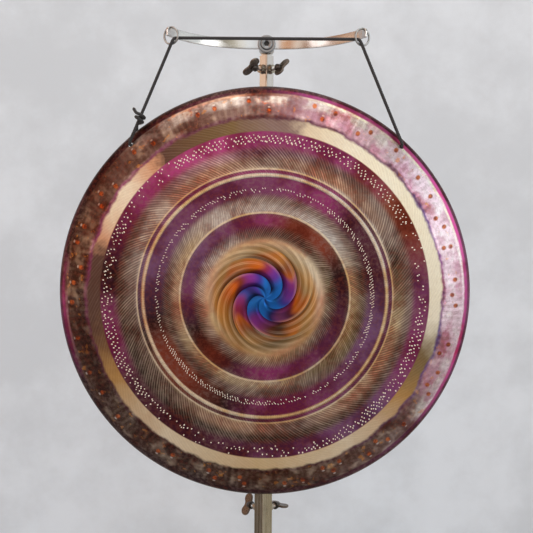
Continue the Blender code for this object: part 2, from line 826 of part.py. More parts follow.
def gong():
    sheet = turned("gong_sheet", [(p.x, p.y) for p in PROFILE], GONG_STEPS)
    mesh = evaluated_mesh(sheet)
    for vert in mesh.vertices:
        vert.co.z += whorl(vert.co.x, vert.co.y)
    made = mesh_object("gong", mesh, look=BRONZE)
    shell = made.modifiers.new("sheet", "SOLIDIFY")
    shell.thickness = GONG_SHEET
    shell.offset = -1
    shell.use_even_offset = True
    made.matrix_world = gong_frame()
    for side in SIDES:
        reach = Vector((0, 0, 0.01))
        hole = cylinder(f"gong_hole_{side}", CORD_HOLE / 2, -reach, reach, segments=20)
        hole.matrix_world = hole_frame(side)
        boolean(made, hole)
    return made


# Cord

KNOT_STEP = math.radians(47)
KNOT_RADIUS = (CORD + CORD_SELF_GAP) / math.cos(KNOT_STEP / 2)
CORD_ON_WIRE = CORD / 2 + RING_WIRE / 2 + 2 * GAP


def smooth(points, per_span):
    """Points of a smooth curve through the given ones."""
    ends = [2 * points[0] - points[1], *points, 2 * points[-1] - points[-2]]
    found = []
    for p0, p1, p2, p3 in zip(ends, ends[1:], ends[2:], ends[3:]):
        for step in range(per_span):
            t = step / per_span
            bend = 2 * p0 - 5 * p1 + 4 * p2 - p3
            twist = 3 * p1 - p0 - 3 * p2 + p3
            found.append(p1 + 0.5 * ((p2 - p0) * t + bend * t * t + twist * t * t * t))
    return [*found, points[-1]]


def straight(first, second):
    """Points along a straight run, four cord diameters apart, without its two ends."""
    pieces = max(1, round((second - first).length / (4 * CORD)))
    return [first.lerp(second, step / pieces) for step in range(1, pieces)]


def through_ring(side):
    """The cord's way over a ring's wire, from behind it to the strand in front."""
    frame = ring_frame(side)
    front = -SIDES[side]
    # Degrees down round the ring from its inner side, and round the wire from the back.
    turns = [(30, -52), (36, -20), (44, 10), (56, 38), (70, 62)]
    found = []
    for down, over in turns:
        down, over = math.radians(down), math.radians(over)
        radius = RING_CENTRELINE - CORD_ON_WIRE * math.cos(over)
        across, along = -radius * math.cos(down), front * CORD_ON_WIRE * math.sin(over)
        found.append(frame @ Vector((across, along, -radius * math.sin(down))))
    return found


def into_hole(side, ring_end):
    """The cord's way from behind a hole out to where its strand runs straight to the ring."""
    frame = hole_frame(side)
    hole = frame.translation
    normal = (frame.to_3x3() @ UP).normalized()
    up = ring_end - hole
    up = (up - normal * up.dot(normal)).normalized()
    spots = [(0, -0.0075), (0, -0.0030), (0, 0.0004), (0.0011, 0.0034), (0.0040, 0.0054)]
    return [hole + up * along + normal * out for along, out in spots]


def rim_point(side, degrees, radius, depth):
    """A place by its angle from the top of the gong, its radius and its depth from the back edge."""
    angle = math.radians(degrees)
    out = Vector((SIDES[side] * math.sin(angle), math.cos(angle), 0)) * radius
    return gong_frame() @ (out + UP * depth)


def tied_end(hole, ring_end):
    """From the left tail, round the main strand as a knot and over the rim to behind the hole."""
    along = (ring_end - hole).normalized()
    knot = hole + along * KNOT_FROM_HOLE
    front = -UP.cross(Vector((1, 0, 0)))
    right = along.cross(front).normalized()
    front = right.cross(along)
    tail = [(-0.0175, 0.0040, 0.0120), (-0.0130, 0.0050, 0.0085), (-0.0085, 0.0062, 0.0058)]
    turns = []
    for step in range(11):
        angle = math.pi / 2 - KNOT_STEP * step
        height = KNOT_HALF_HEIGHT * (1 - 2 * step / 10)
        turns.append((KNOT_RADIUS * math.cos(angle), KNOT_RADIUS * math.sin(angle), height))
    way = [knot + right * x + front * y + along * z for x, y, z in [*tail, *turns]]
    lip = GONG_RADIUS
    back = [
        rim_point("left", 37.1, lip + 0.0090, 0.0065),
        rim_point("left", 38.0, lip + 0.0052, -0.0030),
        rim_point("left", 39.2, lip - 0.0040, -0.0056),
        rim_point("left", 40.4, lip - 0.0125, 0.0010),
        rim_point("left", 41.5, lip - 0.0170, 0.0085),
    ]
    return [*way, *back]


def stopper_knot():
    """From behind the right hole, a turn of the cord back round itself with a short tail."""
    frame = hole_frame("right")
    stem = [(0, 0, -0.0130), (0.0022, -0.0006, -0.0168), (0.0061, 0.0004, -0.0180)]
    turns = []
    for step in range(9):
        angle = math.radians(38) + KNOT_STEP * step
        height = STOPPER_FAR + (STOPPER_NEAR - STOPPER_FAR) * step / 8
        turns.append((KNOT_RADIUS * math.cos(angle), KNOT_RADIUS * math.sin(angle), height))
    tail = [(-0.0022, 0.0104, -0.0064), (-0.0078, 0.0138, -0.0090)]
    return [frame @ Vector(spot) for spot in [*stem, *turns, *tail]]


def cord_route():
    """The cord's centre line, from its tied tail on the left to its stopper knot on the right."""
    left_ring, right_ring = through_ring("left"), through_ring("right")
    left_hole = into_hole("left", left_ring[-1])
    right_hole = into_hole("right", right_ring[-1])
    tied = smooth([*tied_end(left_hole[-1], left_ring[-1]), *left_hole], 1)
    loose = smooth([*reversed(right_hole), *stopper_knot()], 1)
    return [
        *tied,
        *straight(tied[-1], left_ring[-1]),
        *reversed(left_ring),
        *straight(left_ring[0], right_ring[0]),
        *right_ring,
        *straight(right_ring[-1], loose[0]),
        *loose,
    ]


def cord():
    """One cord, held by both rings and both holes."""
    points = cord_route()
    curve = bpy.data.curves.new("suspension_cord", "CURVE")
    curve.dimensions = "3D"
    curve.bevel_depth = CORD / 2
    curve.bevel_resolution = 2
    curve.use_fill_caps = True
    spline = curve.splines.new("POLY")
    spline.points.add(len(points) - 1)
    for point, place in zip(spline.points, points):
        point.co = (*place, 1)
    made = bpy.data.objects.new("suspension_cord", curve)
    made.data.materials.append(material("suspension_cord", BLACK_CORD))
    PARTS.objects.link(made)
    length = sum((b - a).length for a, b in zip(points, points[1:]))
    print(f"Cord: {length:.3f} m in {len(points)} points")
    return made


# Folding legs

CHEEK_FROM = LEG_SIDE / 2 + LEG_SIDE_PLAY
CHEEK_TO = CHEEK_FROM + BRACKET_PLATE
FOOT_HEIGHT = LEG_AXIS_Z - LEG_SIDE / 2 - GAP


def leg_bracket(name):
    """A U of plate on a mast face, with a web that stops the leg when it is level."""
    start = MAST_SIDE / 2 + GAP
    end = LEG_PIVOT_OUT + BRACKET_STOP_TO
    low, high = LEG_AXIS_Z - BRACKET_BOTTOM, LEG_AXIS_Z + BRACKET_TOP
    half = MAST_SIDE / 2
    middle = start + BRACKET_PLATE / 2
    under = LEG_AXIS_Z - LEG_SIDE / 2 - GAP
    bracket = box_mesh(name, (start, -half, low), (start + BRACKET_PLATE, half, high), look=STEEL)
    for sign in (-1, 1):
        near, far = sorted((sign * CHEEK_FROM, sign * CHEEK_TO))
        cheek = box_mesh(f"{name}_cheek_{sign}", (middle, near, low), (end, far, high))
        round_front_corners(cheek, end)
        boolean(bracket, cheek, "UNION")
    inside = (CHEEK_FROM + CHEEK_TO) / 2
    web = box_mesh(
        name + "_web",
        (LEG_PIVOT_OUT + BRACKET_STOP_FROM, -inside, under - BRACKET_PLATE),
        (end - BRACKET_PLATE, inside, under),
    )
    boolean(bracket, web, "UNION")
    return boolean(bracket, leg_bolt_hole(name, CHEEK_TO))


def round_front_corners(cheek, end):
    """Rounds the two outer corners of a cheek plate, seen from its side."""
    bm = bmesh.new()
    bm.from_mesh(cheek.data)
    corners = [
        edge
        for edge in bm.edges
        if all(abs(v.co.x - end) < 0.0001 for v in edge.verts)
        and abs(edge.verts[0].co.z - edge.verts[1].co.z) < 0.0001
    ]
    bmesh.ops.bevel(
        bm, geom=corners, offset=2 * BRACKET_PLATE, segments=3, affect="EDGES", profile=0.5
    )
    bm.to_mesh(cheek.data)
    bm.free()


def leg_bolt_hole(name, half_length):
    reach = Vector((0, half_length + BRACKET_PLATE, 0))
    at = Vector((LEG_PIVOT_OUT, 0, LEG_AXIS_Z))
    return cylinder(name + "_bolt_hole", LEG_BOLT / 2 + BOLT_PLAY, at - reach, at + reach, segments=20)


def leg_tube(name):
    half, inner = LEG_SIDE / 2, LEG_SIDE / 2 - LEG_WALL
    root, tip = LEG_PIVOT_OUT - LEG_ROOT, LEG_REACH
    z = LEG_AXIS_Z
    tube = box_mesh(name, (root, -half, z - half), (tip, half, z + half))
    bore = box_mesh(
        name + "_bore", (root - half, -inner, z - inner), (tip + half, inner, z + inner)
    )
    round_long_edges(tube, LEG_WALL * 0.8, axis=0)
    tube.data.materials.append(material(name, STEEL))
    boolean(tube, bore)
    boolean(tube, leg_bolt_hole(name, half))
    at = Vector((LEG_REACH - FOOT_FROM_TIP, 0, z - half))
    stud_hole = cylinder(
        name + "_stud_hole", FOOT_STUD / 2 + BOLT_PLAY, at - UP * half, at + UP * half / 2, segments=16
    )
    return boolean(tube, stud_hole)


def leg_cap(name):
    half, inner = LEG_SIDE / 2, LEG_SIDE / 2 - LEG_WALL - GAP
    seat, z = LEG_REACH + GAP, LEG_AXIS_Z
    cap = box_mesh(name, (seat, -half, z - half), (seat + PLUG_FLANGE, half, z + half))
    round_long_edges(cap, LEG_WALL * 0.8, axis=0)
    tongue_end = seat - FOOT_FROM_TIP + FOOT_STUD_HEAD
    tongue = box_mesh(
        name + "_tongue", (tongue_end, -inner, z - inner), (seat + PLUG_FLANGE / 2, inner, z + inner)
    )
    cap.data.materials.append(material(name, PLASTIC))
    return boolean(cap, tongue, "UNION")


def leg_foot(name):
    """A rubber foot under the leg's end, with a stud pushed into the tube."""
    stud, stud_top = FOOT_STUD / 2, FOOT_HEIGHT + LEG_WALL + 0.003
    profile = [
        (0, stud_top),
        (stud, stud_top),
        (stud, FOOT_HEIGHT),
        (FOOT_RADIUS * 0.75, FOOT_HEIGHT),
        (FOOT_RADIUS, FOOT_HEIGHT * 0.8),
        (FOOT_RADIUS, FOOT_HEIGHT * 0.1),
        (FOOT_RADIUS * 0.92, 0),
        (0, 0),
    ]
    foot = turned_solid(name, profile, look=RUBBER)
    foot.matrix_world = Matrix.Translation((LEG_REACH - FOOT_FROM_TIP, 0, 0))
    return foot


def leg_bolt(name):
    at = Vector((LEG_PIVOT_OUT, 0, LEG_AXIS_Z))
    across = Vector((0, 1, 0))
    seat = CHEEK_TO + GAP
    nut_end = seat + LEG_BOLT_HEAD_DEPTH
    head = cylinder(
        name,
        LEG_BOLT_HEAD / math.sqrt(3),
        at - across * (seat + LEG_BOLT_HEAD_DEPTH),
        at - across * seat,
        segments=6,
        look=DARK_STEEL,
        smooth=False,
    )
    shank = cylinder(
        name + "_shank",
        LEG_BOLT / 2,
        at - across * (seat + LEG_BOLT_HEAD_DEPTH / 2),
        at + across * (nut_end + 2 * GAP),
        segments=16,
    )
    return boolean(head, shank, "UNION")


def leg_nut(name):
    at = Vector((LEG_PIVOT_OUT, 0, LEG_AXIS_Z))
    nut = hex_nut(name, LEG_BOLT_HEAD, LEG_BOLT_HEAD_DEPTH, LEG_BOLT)
    turn = Matrix.Rotation(math.radians(-90), 4, "X")
    place_with_cutters(nut, Matrix.Translation(at + Vector((0, CHEEK_TO + GAP, 0))) @ turn)
    return nut


def leg(number):
    """One leg on the mast face at its number, built towards +X and then turned into place."""
    turn = Matrix.Rotation(DIAGONAL + number * math.pi / 2, 4, "Z")
    fixed = [leg_bracket(f"leg_bracket_{number + 1}"), leg_bolt(f"leg_bolt_{number + 1}")]
    fixed.append(leg_nut(f"leg_nut_{number + 1}"))
    moving = [leg_tube(f"leg_tube_{number + 1}"), leg_cap(f"leg_cap_{number + 1}")]
    moving.append(leg_foot(f"foot_{number + 1}"))
    for made in [*fixed, *moving]:
        place_with_cutters(made, turn @ made.matrix_world)
    hinge = turn @ Matrix.Translation((LEG_PIVOT_OUT, 0, LEG_AXIS_Z))
    carry(empty(f"leg_{number + 1}_fold", hinge), *moving)


def main():
    lower_mast()
    for number in range(4):
        leg(number)
    mast = empty("upper_mast_slide", Matrix.Translation((0, 0, UPPER_BOTTOM)))
    upper_mast(mast)
    head = empty("head_slide", Matrix.Translation((0, 0, UPPER_TOP)), mast)
    stem_and_head(head)
    carry(head, crossbar())
    pivot(head)
    for place in ("lower_left", "lower_right"):
        wing_screw(f"wing_screw_{place}", place, LOWER_CLAMP_Z, MAST_SIDE, UPPER_SIDE, None)
    for place in ("upper_left", "upper_right"):
        wing_screw(f"wing_screw_{place}", place, UPPER_CLAMP_Z, UPPER_SIDE, STEM_SIDE, mast)
    swing = empty("gong_swing", Matrix.Translation((0, HANG_Y, SWING_AXIS_Z)), head)
    carry(swing, gong())
    for side in SIDES:
        ring = torus_mesh(f"ring_{side}", RING_WIRE, look=STEEL)
        ring.matrix_world = ring_frame(side)
        carry(swing, ring)
    carry(swing, cord())


main()
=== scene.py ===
# %% [markdown]
# # A heat-tinted gong on its stand
#
# The object is a bronze gong, 76 cm across, that hangs by a braided cord from a bowed
# steel bar. The bar is bolted to a square telescoping mast with four folding legs.
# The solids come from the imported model, and this script dresses them: some keep their
# shape and get a finish, and some are replaced by a finer piece of the same size.

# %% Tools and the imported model
import math
import random

import bmesh
import bpy
import numpy as np
from mathutils import Matrix, Vector


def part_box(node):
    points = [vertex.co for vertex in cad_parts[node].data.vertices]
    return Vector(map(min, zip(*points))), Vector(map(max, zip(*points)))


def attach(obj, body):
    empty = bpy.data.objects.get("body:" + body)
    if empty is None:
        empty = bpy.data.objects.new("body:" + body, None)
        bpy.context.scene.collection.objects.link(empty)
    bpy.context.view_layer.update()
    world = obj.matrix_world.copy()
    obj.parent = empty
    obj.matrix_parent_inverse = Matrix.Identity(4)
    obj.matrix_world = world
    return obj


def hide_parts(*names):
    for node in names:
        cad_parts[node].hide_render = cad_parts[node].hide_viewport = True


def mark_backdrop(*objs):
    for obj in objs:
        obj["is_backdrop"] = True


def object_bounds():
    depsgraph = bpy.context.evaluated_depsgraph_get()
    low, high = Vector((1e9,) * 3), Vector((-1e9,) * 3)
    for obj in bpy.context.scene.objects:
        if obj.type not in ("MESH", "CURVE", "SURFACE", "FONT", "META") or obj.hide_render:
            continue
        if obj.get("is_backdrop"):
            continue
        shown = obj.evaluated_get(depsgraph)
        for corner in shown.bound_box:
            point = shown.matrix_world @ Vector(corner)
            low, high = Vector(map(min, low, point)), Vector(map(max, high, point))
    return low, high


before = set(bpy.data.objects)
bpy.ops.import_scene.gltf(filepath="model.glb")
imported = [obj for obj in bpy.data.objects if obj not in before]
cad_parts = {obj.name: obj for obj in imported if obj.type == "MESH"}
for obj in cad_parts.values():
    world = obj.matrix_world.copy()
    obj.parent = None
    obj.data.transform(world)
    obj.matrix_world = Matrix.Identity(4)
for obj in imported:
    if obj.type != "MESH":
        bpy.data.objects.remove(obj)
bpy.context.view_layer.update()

# %% [markdown]
# ## The camera
#
# The gong was photographed from straight in front, at the height of its middle, with a
# long lens held a little tilted. A camera can be placed by matching points by eye.
# Here a focal length in pixels and a distance are used instead, because those two
# follow from the known sizes of the gong and its stand.

# %% The camera at the photograph's place
IMAGE_SIDE = 533
FOCAL_PIXELS = 932
CAMERA_DISTANCE = 1.807
CAMERA_HEIGHT = 0.9957
CAMERA_ROLL = math.radians(0.43)
CROP_SHIFT = 1.5

camera_data = bpy.data.cameras.new("camera")
camera_data.sensor_width = 36
camera_data.lens = camera_data.sensor_width * FOCAL_PIXELS / IMAGE_SIDE
camera_data.shift_x = CROP_SHIFT / IMAGE_SIDE
camera = bpy.data.objects.new("camera", camera_data)
bpy.context.scene.collection.objects.link(camera)
away = Vector((0, -1, 0))
place = Vector((0, 0, CAMERA_HEIGHT)) + away * CAMERA_DISTANCE
facing = (-away).to_track_quat("-Z", "Y").to_matrix().to_4x4()
camera.matrix_world = Matrix.Translation(place) @ facing @ Matrix.Rotation(CAMERA_ROLL, 4, "Z")
bpy.context.scene.camera = camera
bpy.context.scene.view_settings.view_transform = "Standard"
print("lens", round(camera_data.lens, 2), "mm at", [round(v, 3) for v in place])

# %% [markdown]
# ## Building meshes in code
#
# A few small helpers make most pieces. One turns lists of points into an object, one
# spins a profile round an axis as a lathe does, one cuts a shape out of a piece, and one
# lets a piece ride on a body of the model while it stands in for the model's own solid.


# %% Helpers that make, cut and mount a piece
def placed(name, data):
    """A new object in the scene."""
    piece = bpy.data.objects.new(name, data)
    bpy.context.scene.collection.objects.link(piece)
    return piece


def mesh_piece(name, points, faces, finishes=()):
    """A smooth-shaded object from points and faces, sharp only at steep edges."""
    mesh = bpy.data.meshes.new(name)
    mesh.from_pydata([tuple(p) for p in points], [], faces)
    mesh.polygons.foreach_set("use_smooth", [True] * len(mesh.polygons))
    mesh.update()
    mesh.set_sharp_from_angle(angle=math.radians(38))
    for finish in finishes:
        mesh.materials.append(finish)
    return placed(name, mesh)


def circle(steps):
    """The angles of that many even steps round a circle."""
    return [math.tau * k / steps for k in range(steps)]


def grid_faces(rows, columns, closed_rows=False):
    """Quads between rows of points, each row a closed loop of that many columns."""
    faces = []
    for row in range(rows if closed_rows else rows - 1):
        low, high = row * columns, (row + 1) % rows * columns
        for column in range(columns):
            after = (column + 1) % columns
            faces.append((low + column, low + after, high + after, high + column))
    return faces


def capped_faces(rows, columns):
    """The same quads, with a cap over the first row and the last."""
    last = (rows - 1) * columns
    caps = [tuple(reversed(range(columns))), tuple(range(last, last + columns))]
    return grid_faces(rows, columns) + caps


def lathe(name, profile, finish, steps=64, place=Matrix.Identity(4)):
    """A profile of (radius, height) points, from its foot up, spun round Z."""
    points = [
        place @ Vector((radius * math.cos(turn), radius * math.sin(turn), height))
        for radius, height in profile
        for turn in circle(steps)
    ]
    return mesh_piece(name, points, capped_faces(len(profile), steps), [finish])


def made_mesh(piece):
    """The mesh that a curve or a piece's modifiers come to."""
    bpy.context.view_layer.update()
    return bpy.data.meshes.new_from_object(piece.evaluated_get(bpy.context.evaluated_depsgraph_get()))


def cut_away(piece, cutter, material_mode="INDEX"):
    """Cuts a shape out of a piece with an exact Boolean and keeps the result as the mesh."""
    cut = piece.modifiers.new("cut", "BOOLEAN")
    cut.object, cut.solver, cut.operation, cut.material_mode = cutter, "EXACT", "DIFFERENCE", material_mode
    result = made_mesh(piece)
    piece.modifiers.clear()
    piece.data = result
    bpy.data.objects.remove(cutter)


def drill(piece, place, radius, depth=0.02):
    """Cuts a round hole."""
    cutter_mesh = bpy.data.meshes.new("drill")
    shape = bmesh.new()
    bmesh.ops.create_cone(shape, cap_ends=True, segments=32, radius1=radius, radius2=radius, depth=depth)
    shape.to_mesh(cutter_mesh)
    shape.free()
    cutter = placed("drill", cutter_mesh)
    cutter.matrix_world = place
    cut_away(piece, cutter)


def mount(piece, body, instead_of=()):
    """Lets a piece ride on a body, and stand for the CAD nodes that it replaces."""
    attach(piece, body)
    if instead_of:
        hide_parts(*instead_of)
    return piece


# %% [markdown]
# ## Wiring a finish
#
# A finish in Blender is a graph of nodes. Placing each node by hand takes many lines,
# so a small class holds one graph and adds a node with each call, and a sum of two
# values places the node that works it out. Effects that several finishes share,
# or that one finish uses many times, are node groups with their own inputs.


# %% A short way to write node graphs
def tint(red, green, blue):
    """A colour from its 0 to 255 display values, as the linear values that nodes use."""
    shares = [v / 255 for v in (red, green, blue)]
    linear = [v / 12.92 if v <= 0.04045 else ((v + 0.055) / 1.055) ** 2.4 for v in shares]
    return (*linear, 1)


def sum_node(operation, swapped=False):
    """A Python operator that places a Math node for two values."""

    def place(value, other):
        return value.graph.math(operation, *((other, value) if swapped else (value, other)))

    return place


class Value:
    """What one node gives to others. It can be added, subtracted, multiplied and so on."""

    def __init__(self, graph, socket):
        self.graph, self.socket = graph, socket

    __add__, __radd__ = sum_node("ADD"), sum_node("ADD", True)
    __sub__, __rsub__ = sum_node("SUBTRACT"), sum_node("SUBTRACT", True)
    __mul__, __rmul__ = sum_node("MULTIPLY"), sum_node("MULTIPLY", True)
    __truediv__, __mod__, __pow__ = sum_node("DIVIDE"), sum_node("MODULO"), sum_node("POWER")


class Graph:
    """One node graph, with a call for each kind of node that the finishes use."""

    def __init__(self, tree, leave=None):
        self.tree, self.leave = tree, leave

    def add(self, kind, **settings):
        node = self.tree.nodes.new("ShaderNode" + kind)
        for setting, value in settings.items():
            setattr(node, setting, value)
        return node

    def feed(self, inputs, given):
        """Links values to a node's inputs, by name or number, or sets plain ones."""
        for key, value in given.items():
            value = getattr(value, "socket", value)
            if isinstance(value, bpy.types.NodeSocket):
                self.tree.links.new(value, inputs[key])
            else:
                inputs[key].default_value = value

    def fed(self, node, given, output=0):
        """Feeds a node, and returns one of its outputs."""
        self.feed(node.inputs, given)
        return Value(self, node.outputs[output])

    def read(self, kind, output, **settings):
        """What a node without inputs knows, such as the place that is being shaded."""
        return Value(self, self.add(kind, **settings).outputs[output])

    def math(self, operation, *values):
        return self.fed(self.add("Math", operation=operation), dict(enumerate(values)))

    def length(self, x, y):
        return self.math("SQRT", x * x + y * y)

    def mix(self, share, first, second, blend="MIX"):
        node = self.add("Mix", data_type="RGBA", blend_type=blend)
        return self.fed(node, {0: share, 6: first, 7: second}, 2)

    def rise(self, value, low, high):
        """0 below low and 1 above high, with a smooth rise between them."""
        node = self.add("MapRange", interpolation_type="SMOOTHSTEP")
        return self.fed(node, {0: value, 1: low, 2: high})

    def noise(self, where, scale, detail, roughness):
        given = {"Vector": where, "Scale": scale, "Detail": detail, "Roughness": roughness}
        return self.fed(self.add("TexNoise"), given)

    def point(self, x, y, z):
        return self.fed(self.add("CombineXYZ"), {0: x, 1: y, 2: z})

    def parts(self, vector):
        """The three parts of a point or a colour."""
        node = self.add("SeparateXYZ")
        self.feed(node.inputs, {0: vector})
        return [Value(self, socket) for socket in node.outputs]

    def colours(self, share, stops, interpolation="EASE"):
        """A colour ramp from (place, colour) stops."""
        node = self.add("ValToRGB")
        ramp = node.color_ramp
        ramp.interpolation = interpolation
        while len(ramp.elements) < len(stops):
            ramp.elements.new(1)
        for element, (where, _) in zip(ramp.elements, stops):
            element.position = where
        for element, (_, colour) in zip(ramp.elements, stops):
            element.color = colour
        return self.fed(node, {0: share})

    def use(self, group, **given):
        """Places a node group, and returns its outputs by name."""
        node = self.add("Group", node_tree=group)
        self.feed(node.inputs, {name.replace("_", " "): value for name, value in given.items()})
        return {socket.name: Value(self, socket) for socket in node.outputs}

    def give(self, **values):
        """Feeds what a node group gives, and returns the group."""
        self.feed(self.leave.inputs, values)
        return self.tree


def node_group(name, inputs, outputs, vectors=()):
    """An empty shader group with inputs by name and default: its graph and its inputs."""
    tree = bpy.data.node_groups.new(name, "ShaderNodeTree")
    for label, default in inputs.items():
        kind = "NodeSocketVector" if isinstance(default, tuple) else "NodeSocketFloat"
        tree.interface.new_socket(label, in_out="INPUT", socket_type=kind).default_value = default
    for label in outputs:
        tree.interface.new_socket(label, in_out="OUTPUT", socket_type="NodeSocketFloat")
    for label in vectors:
        tree.interface.new_socket(label, in_out="OUTPUT", socket_type="NodeSocketVector")
    entry, leave = tree.nodes.new("NodeGroupInput"), tree.nodes.new("NodeGroupOutput")
    graph = Graph(tree, leave)
    return graph, {socket.name: Value(graph, socket) for socket in entry.outputs}


def finish_graph(name, metallic, roughness):
    """A new material with its Principled shader: the material, its graph, and the shader's inputs."""
    material = bpy.data.materials.new(name)
    material.use_nodes = True
    graph = Graph(material.node_tree)
    shader = material.node_tree.nodes["Principled BSDF"].inputs
    graph.feed(shader, {"Metallic": metallic, "Roughness": roughness})
    return material, graph, shader


def dress(graph, shader, colour, roughness, height, strength, distance):
    """Feeds a shader its colour and roughness, and a height through a Bump node."""
    given = {"Strength": strength, "Distance": distance, "Height": height}
    normal = graph.fed(graph.add("Bump"), given)
    graph.feed(shader, {"Base Color": colour, "Roughness": roughness, "Normal": normal})


# %% [markdown]
# ## Shared effects
#
# Steel parts that are handled get fine scratches and a little grime, whatever their
# colour. The effect is one group: it gives a mask of scratches, a mask of grime, and a
# height. Each finish takes what it needs from it. A second group tells a square tube's
# left face and front corner from the rest, because those catch other light: the finish
# paints that light and shade on them.


# %% The wear group
def make_wear_group():
    inputs = {"Scale": 1.0, "Stretch": (1.0, 1.0, 1.0)}
    graph, given = node_group("handling wear", inputs, ["Scratches", "Grime", "Height"])
    where = graph.read("TexCoord", "Object")
    stretched = graph.fed(graph.add("VectorMath", operation="MULTIPLY"), {0: where, 1: given["Stretch"]})
    fine = graph.noise(stretched, given["Scale"] * 900, 4, 0.7)
    coarse = graph.noise(where, given["Scale"] * 60, 5, 0.62)
    scratches, grime = graph.rise(fine, 0.46, 0.66), graph.rise(coarse, 0.50, 0.72)
    return graph.give(Scratches=scratches, Grime=grime, Height=fine + coarse)


WEAR = make_wear_group()
print("group", WEAR.name, "gives", [s.name for s in WEAR.interface.items_tree])


# %% The corner group
def make_side_light_group():
    """Masks for the left half of a tube that stands on its corner, and for a line along that corner, where
    light and shade are painted.
    """
    graph, given = node_group("tube side light", {"Width": 0.0022}, ["Left", "Corner"])
    across = graph.parts(graph.read("TexCoord", "Object"))[0]
    off = graph.math("ABSOLUTE", across) / given["Width"]
    return graph.give(Left=1.0 - graph.rise(across, -0.0004, 0.0004), Corner=1.0 - graph.rise(off, 0.5, 1.0))


CORNER = make_side_light_group()
print("group", CORNER.name, "gives", [s.name for s in CORNER.interface.items_tree])


# %% Steel, chrome, plastic and rubber
def worn_metal(name, clean, grimy, roughness, stretch=(1.0, 1.0, 1.0), scale=1.0, left=None, corner=None):
    """Metal with scratches and grime. A tube's left face and corner can get painted light and shade."""
    material, graph, shader = finish_graph(name, 1.0, roughness)
    wear = graph.use(WEAR, Scale=scale, Stretch=stretch)
    if left:
        sides = graph.use(CORNER)
        clean = graph.mix(sides["Corner"], graph.mix(sides["Left"], clean, left), corner)
    colour = graph.mix(wear["Grime"] * 0.55, clean, grimy)
    brighter = graph.mix(wear["Scratches"] * 0.18, colour, tint(235, 232, 228))
    spread = wear["Grime"] * 0.10 + (wear["Scratches"] * 0.14 + (roughness - 0.05))
    dress(graph, shader, brighter, spread, wear["Height"], 0.05, 0.0001)
    return material


def moulded(name, colour, dusty, roughness, grain=1.0):
    """Black plastic or rubber with a moulded grain and a trace of dust."""
    material, graph, shader = finish_graph(name, 0.0, roughness)
    wear = graph.use(WEAR, Scale=grain)
    dusted = graph.mix(wear["Grime"] * 0.5, colour, dusty)
    dress(graph, shader, dusted, wear["Grime"] * 0.12 + roughness, wear["Height"], 0.25, 0.0003)
    return material


# Scratches run along a drawn tube, and round the polished bar.
DRAWN = ((1, 1, 0.02), 0.5)
TUBE_STEEL = worn_metal("satin nickel tube", tint(158, 148, 132), tint(122, 108, 92), 0.30, *DRAWN)
# The mast gets painted shade on its left face and a painted highlight along its front corner.
OLIVE_STEEL = worn_metal(
    "aged nickel mast", tint(168, 157, 129), tint(112, 100, 84), 0.30, *DRAWN,
    left=tint(114, 104, 88), corner=tint(178, 170, 148),
)
# The upper tube and the stem get a painted pale reflection on the left face and a painted dark line of shade
# along the front corner.
BRIGHT_STEEL = worn_metal(
    "bright nickel tube", tint(190, 184, 180), tint(196, 188, 178), 0.20, *DRAWN,
    left=tint(222, 228, 230), corner=tint(139, 120, 105),
)
BAR_STEEL = worn_metal(
    "polished bar steel", tint(204, 202, 200), tint(176, 168, 160), 0.22, (0.1, 0.1, 1), 0.15
)
ZINC = worn_metal("grey zinc", tint(146, 150, 154), tint(112, 110, 108), 0.42)
CHROME = worn_metal("chromed ring wire", tint(156, 157, 157), tint(116, 112, 106), 0.10)
DARK_STEEL = worn_metal("blackened steel", tint(62, 56, 53), tint(42, 38, 36), 0.34)
WING_STEEL = worn_metal("bronzed steel wings", tint(98, 88, 80), tint(60, 52, 46), 0.32)
WELD_STEEL = worn_metal("weld bead", tint(120, 110, 102), tint(80, 66, 58), 0.38, scale=2.0)
BLACK_PLASTIC = moulded("black plastic", tint(28, 28, 30), tint(58, 56, 54), 0.48)
BLACK_RUBBER = moulded("black rubber", tint(24, 24, 25), tint(66, 63, 60), 0.75, 2.0)
print("finishes so far:", len(bpy.data.materials))

# %% [markdown]
# ## The cord
#
# One black braided cord carries the gong. Its left end is tied round its own rising
# strand. From there it goes down behind the flange, comes out in front through the left
# hole, rises through the left ring, runs level to the right ring and goes down to the
# other hole, with a knot behind it. A cord could be a curve with a bevel, but a mesh
# tube can have the braid itself in its shape, so a tube is swept along a smooth route.

# %% The cord's route, as in the model
CORD_RADIUS = 0.003
LEFT_KNOT = [
    (-0.24, -0.124, 1.2807), (-0.2372, -0.1249, 1.2757), (-0.2341, -0.1261, 1.2715),
    (-0.2264, -0.1272, 1.268), (-0.2219, -0.1248, 1.2649), (-0.2205, -0.1193, 1.2632),
    (-0.2233, -0.1142, 1.2633), (-0.2289, -0.1126, 1.2645), (-0.234, -0.1156, 1.2653),
    (-0.2355, -0.1213, 1.2647), (-0.2328, -0.126, 1.2623), (-0.2279, -0.1268, 1.2591),
    (-0.2242, -0.1231, 1.2564), (-0.2242, -0.1172, 1.2553), (-0.2353, -0.1024, 1.2543),
    (-0.2378, -0.0923, 1.2485), (-0.2383, -0.0887, 1.2366), (-0.2388, -0.0942, 1.2245),
    (-0.2412, -0.101, 1.2159),
]
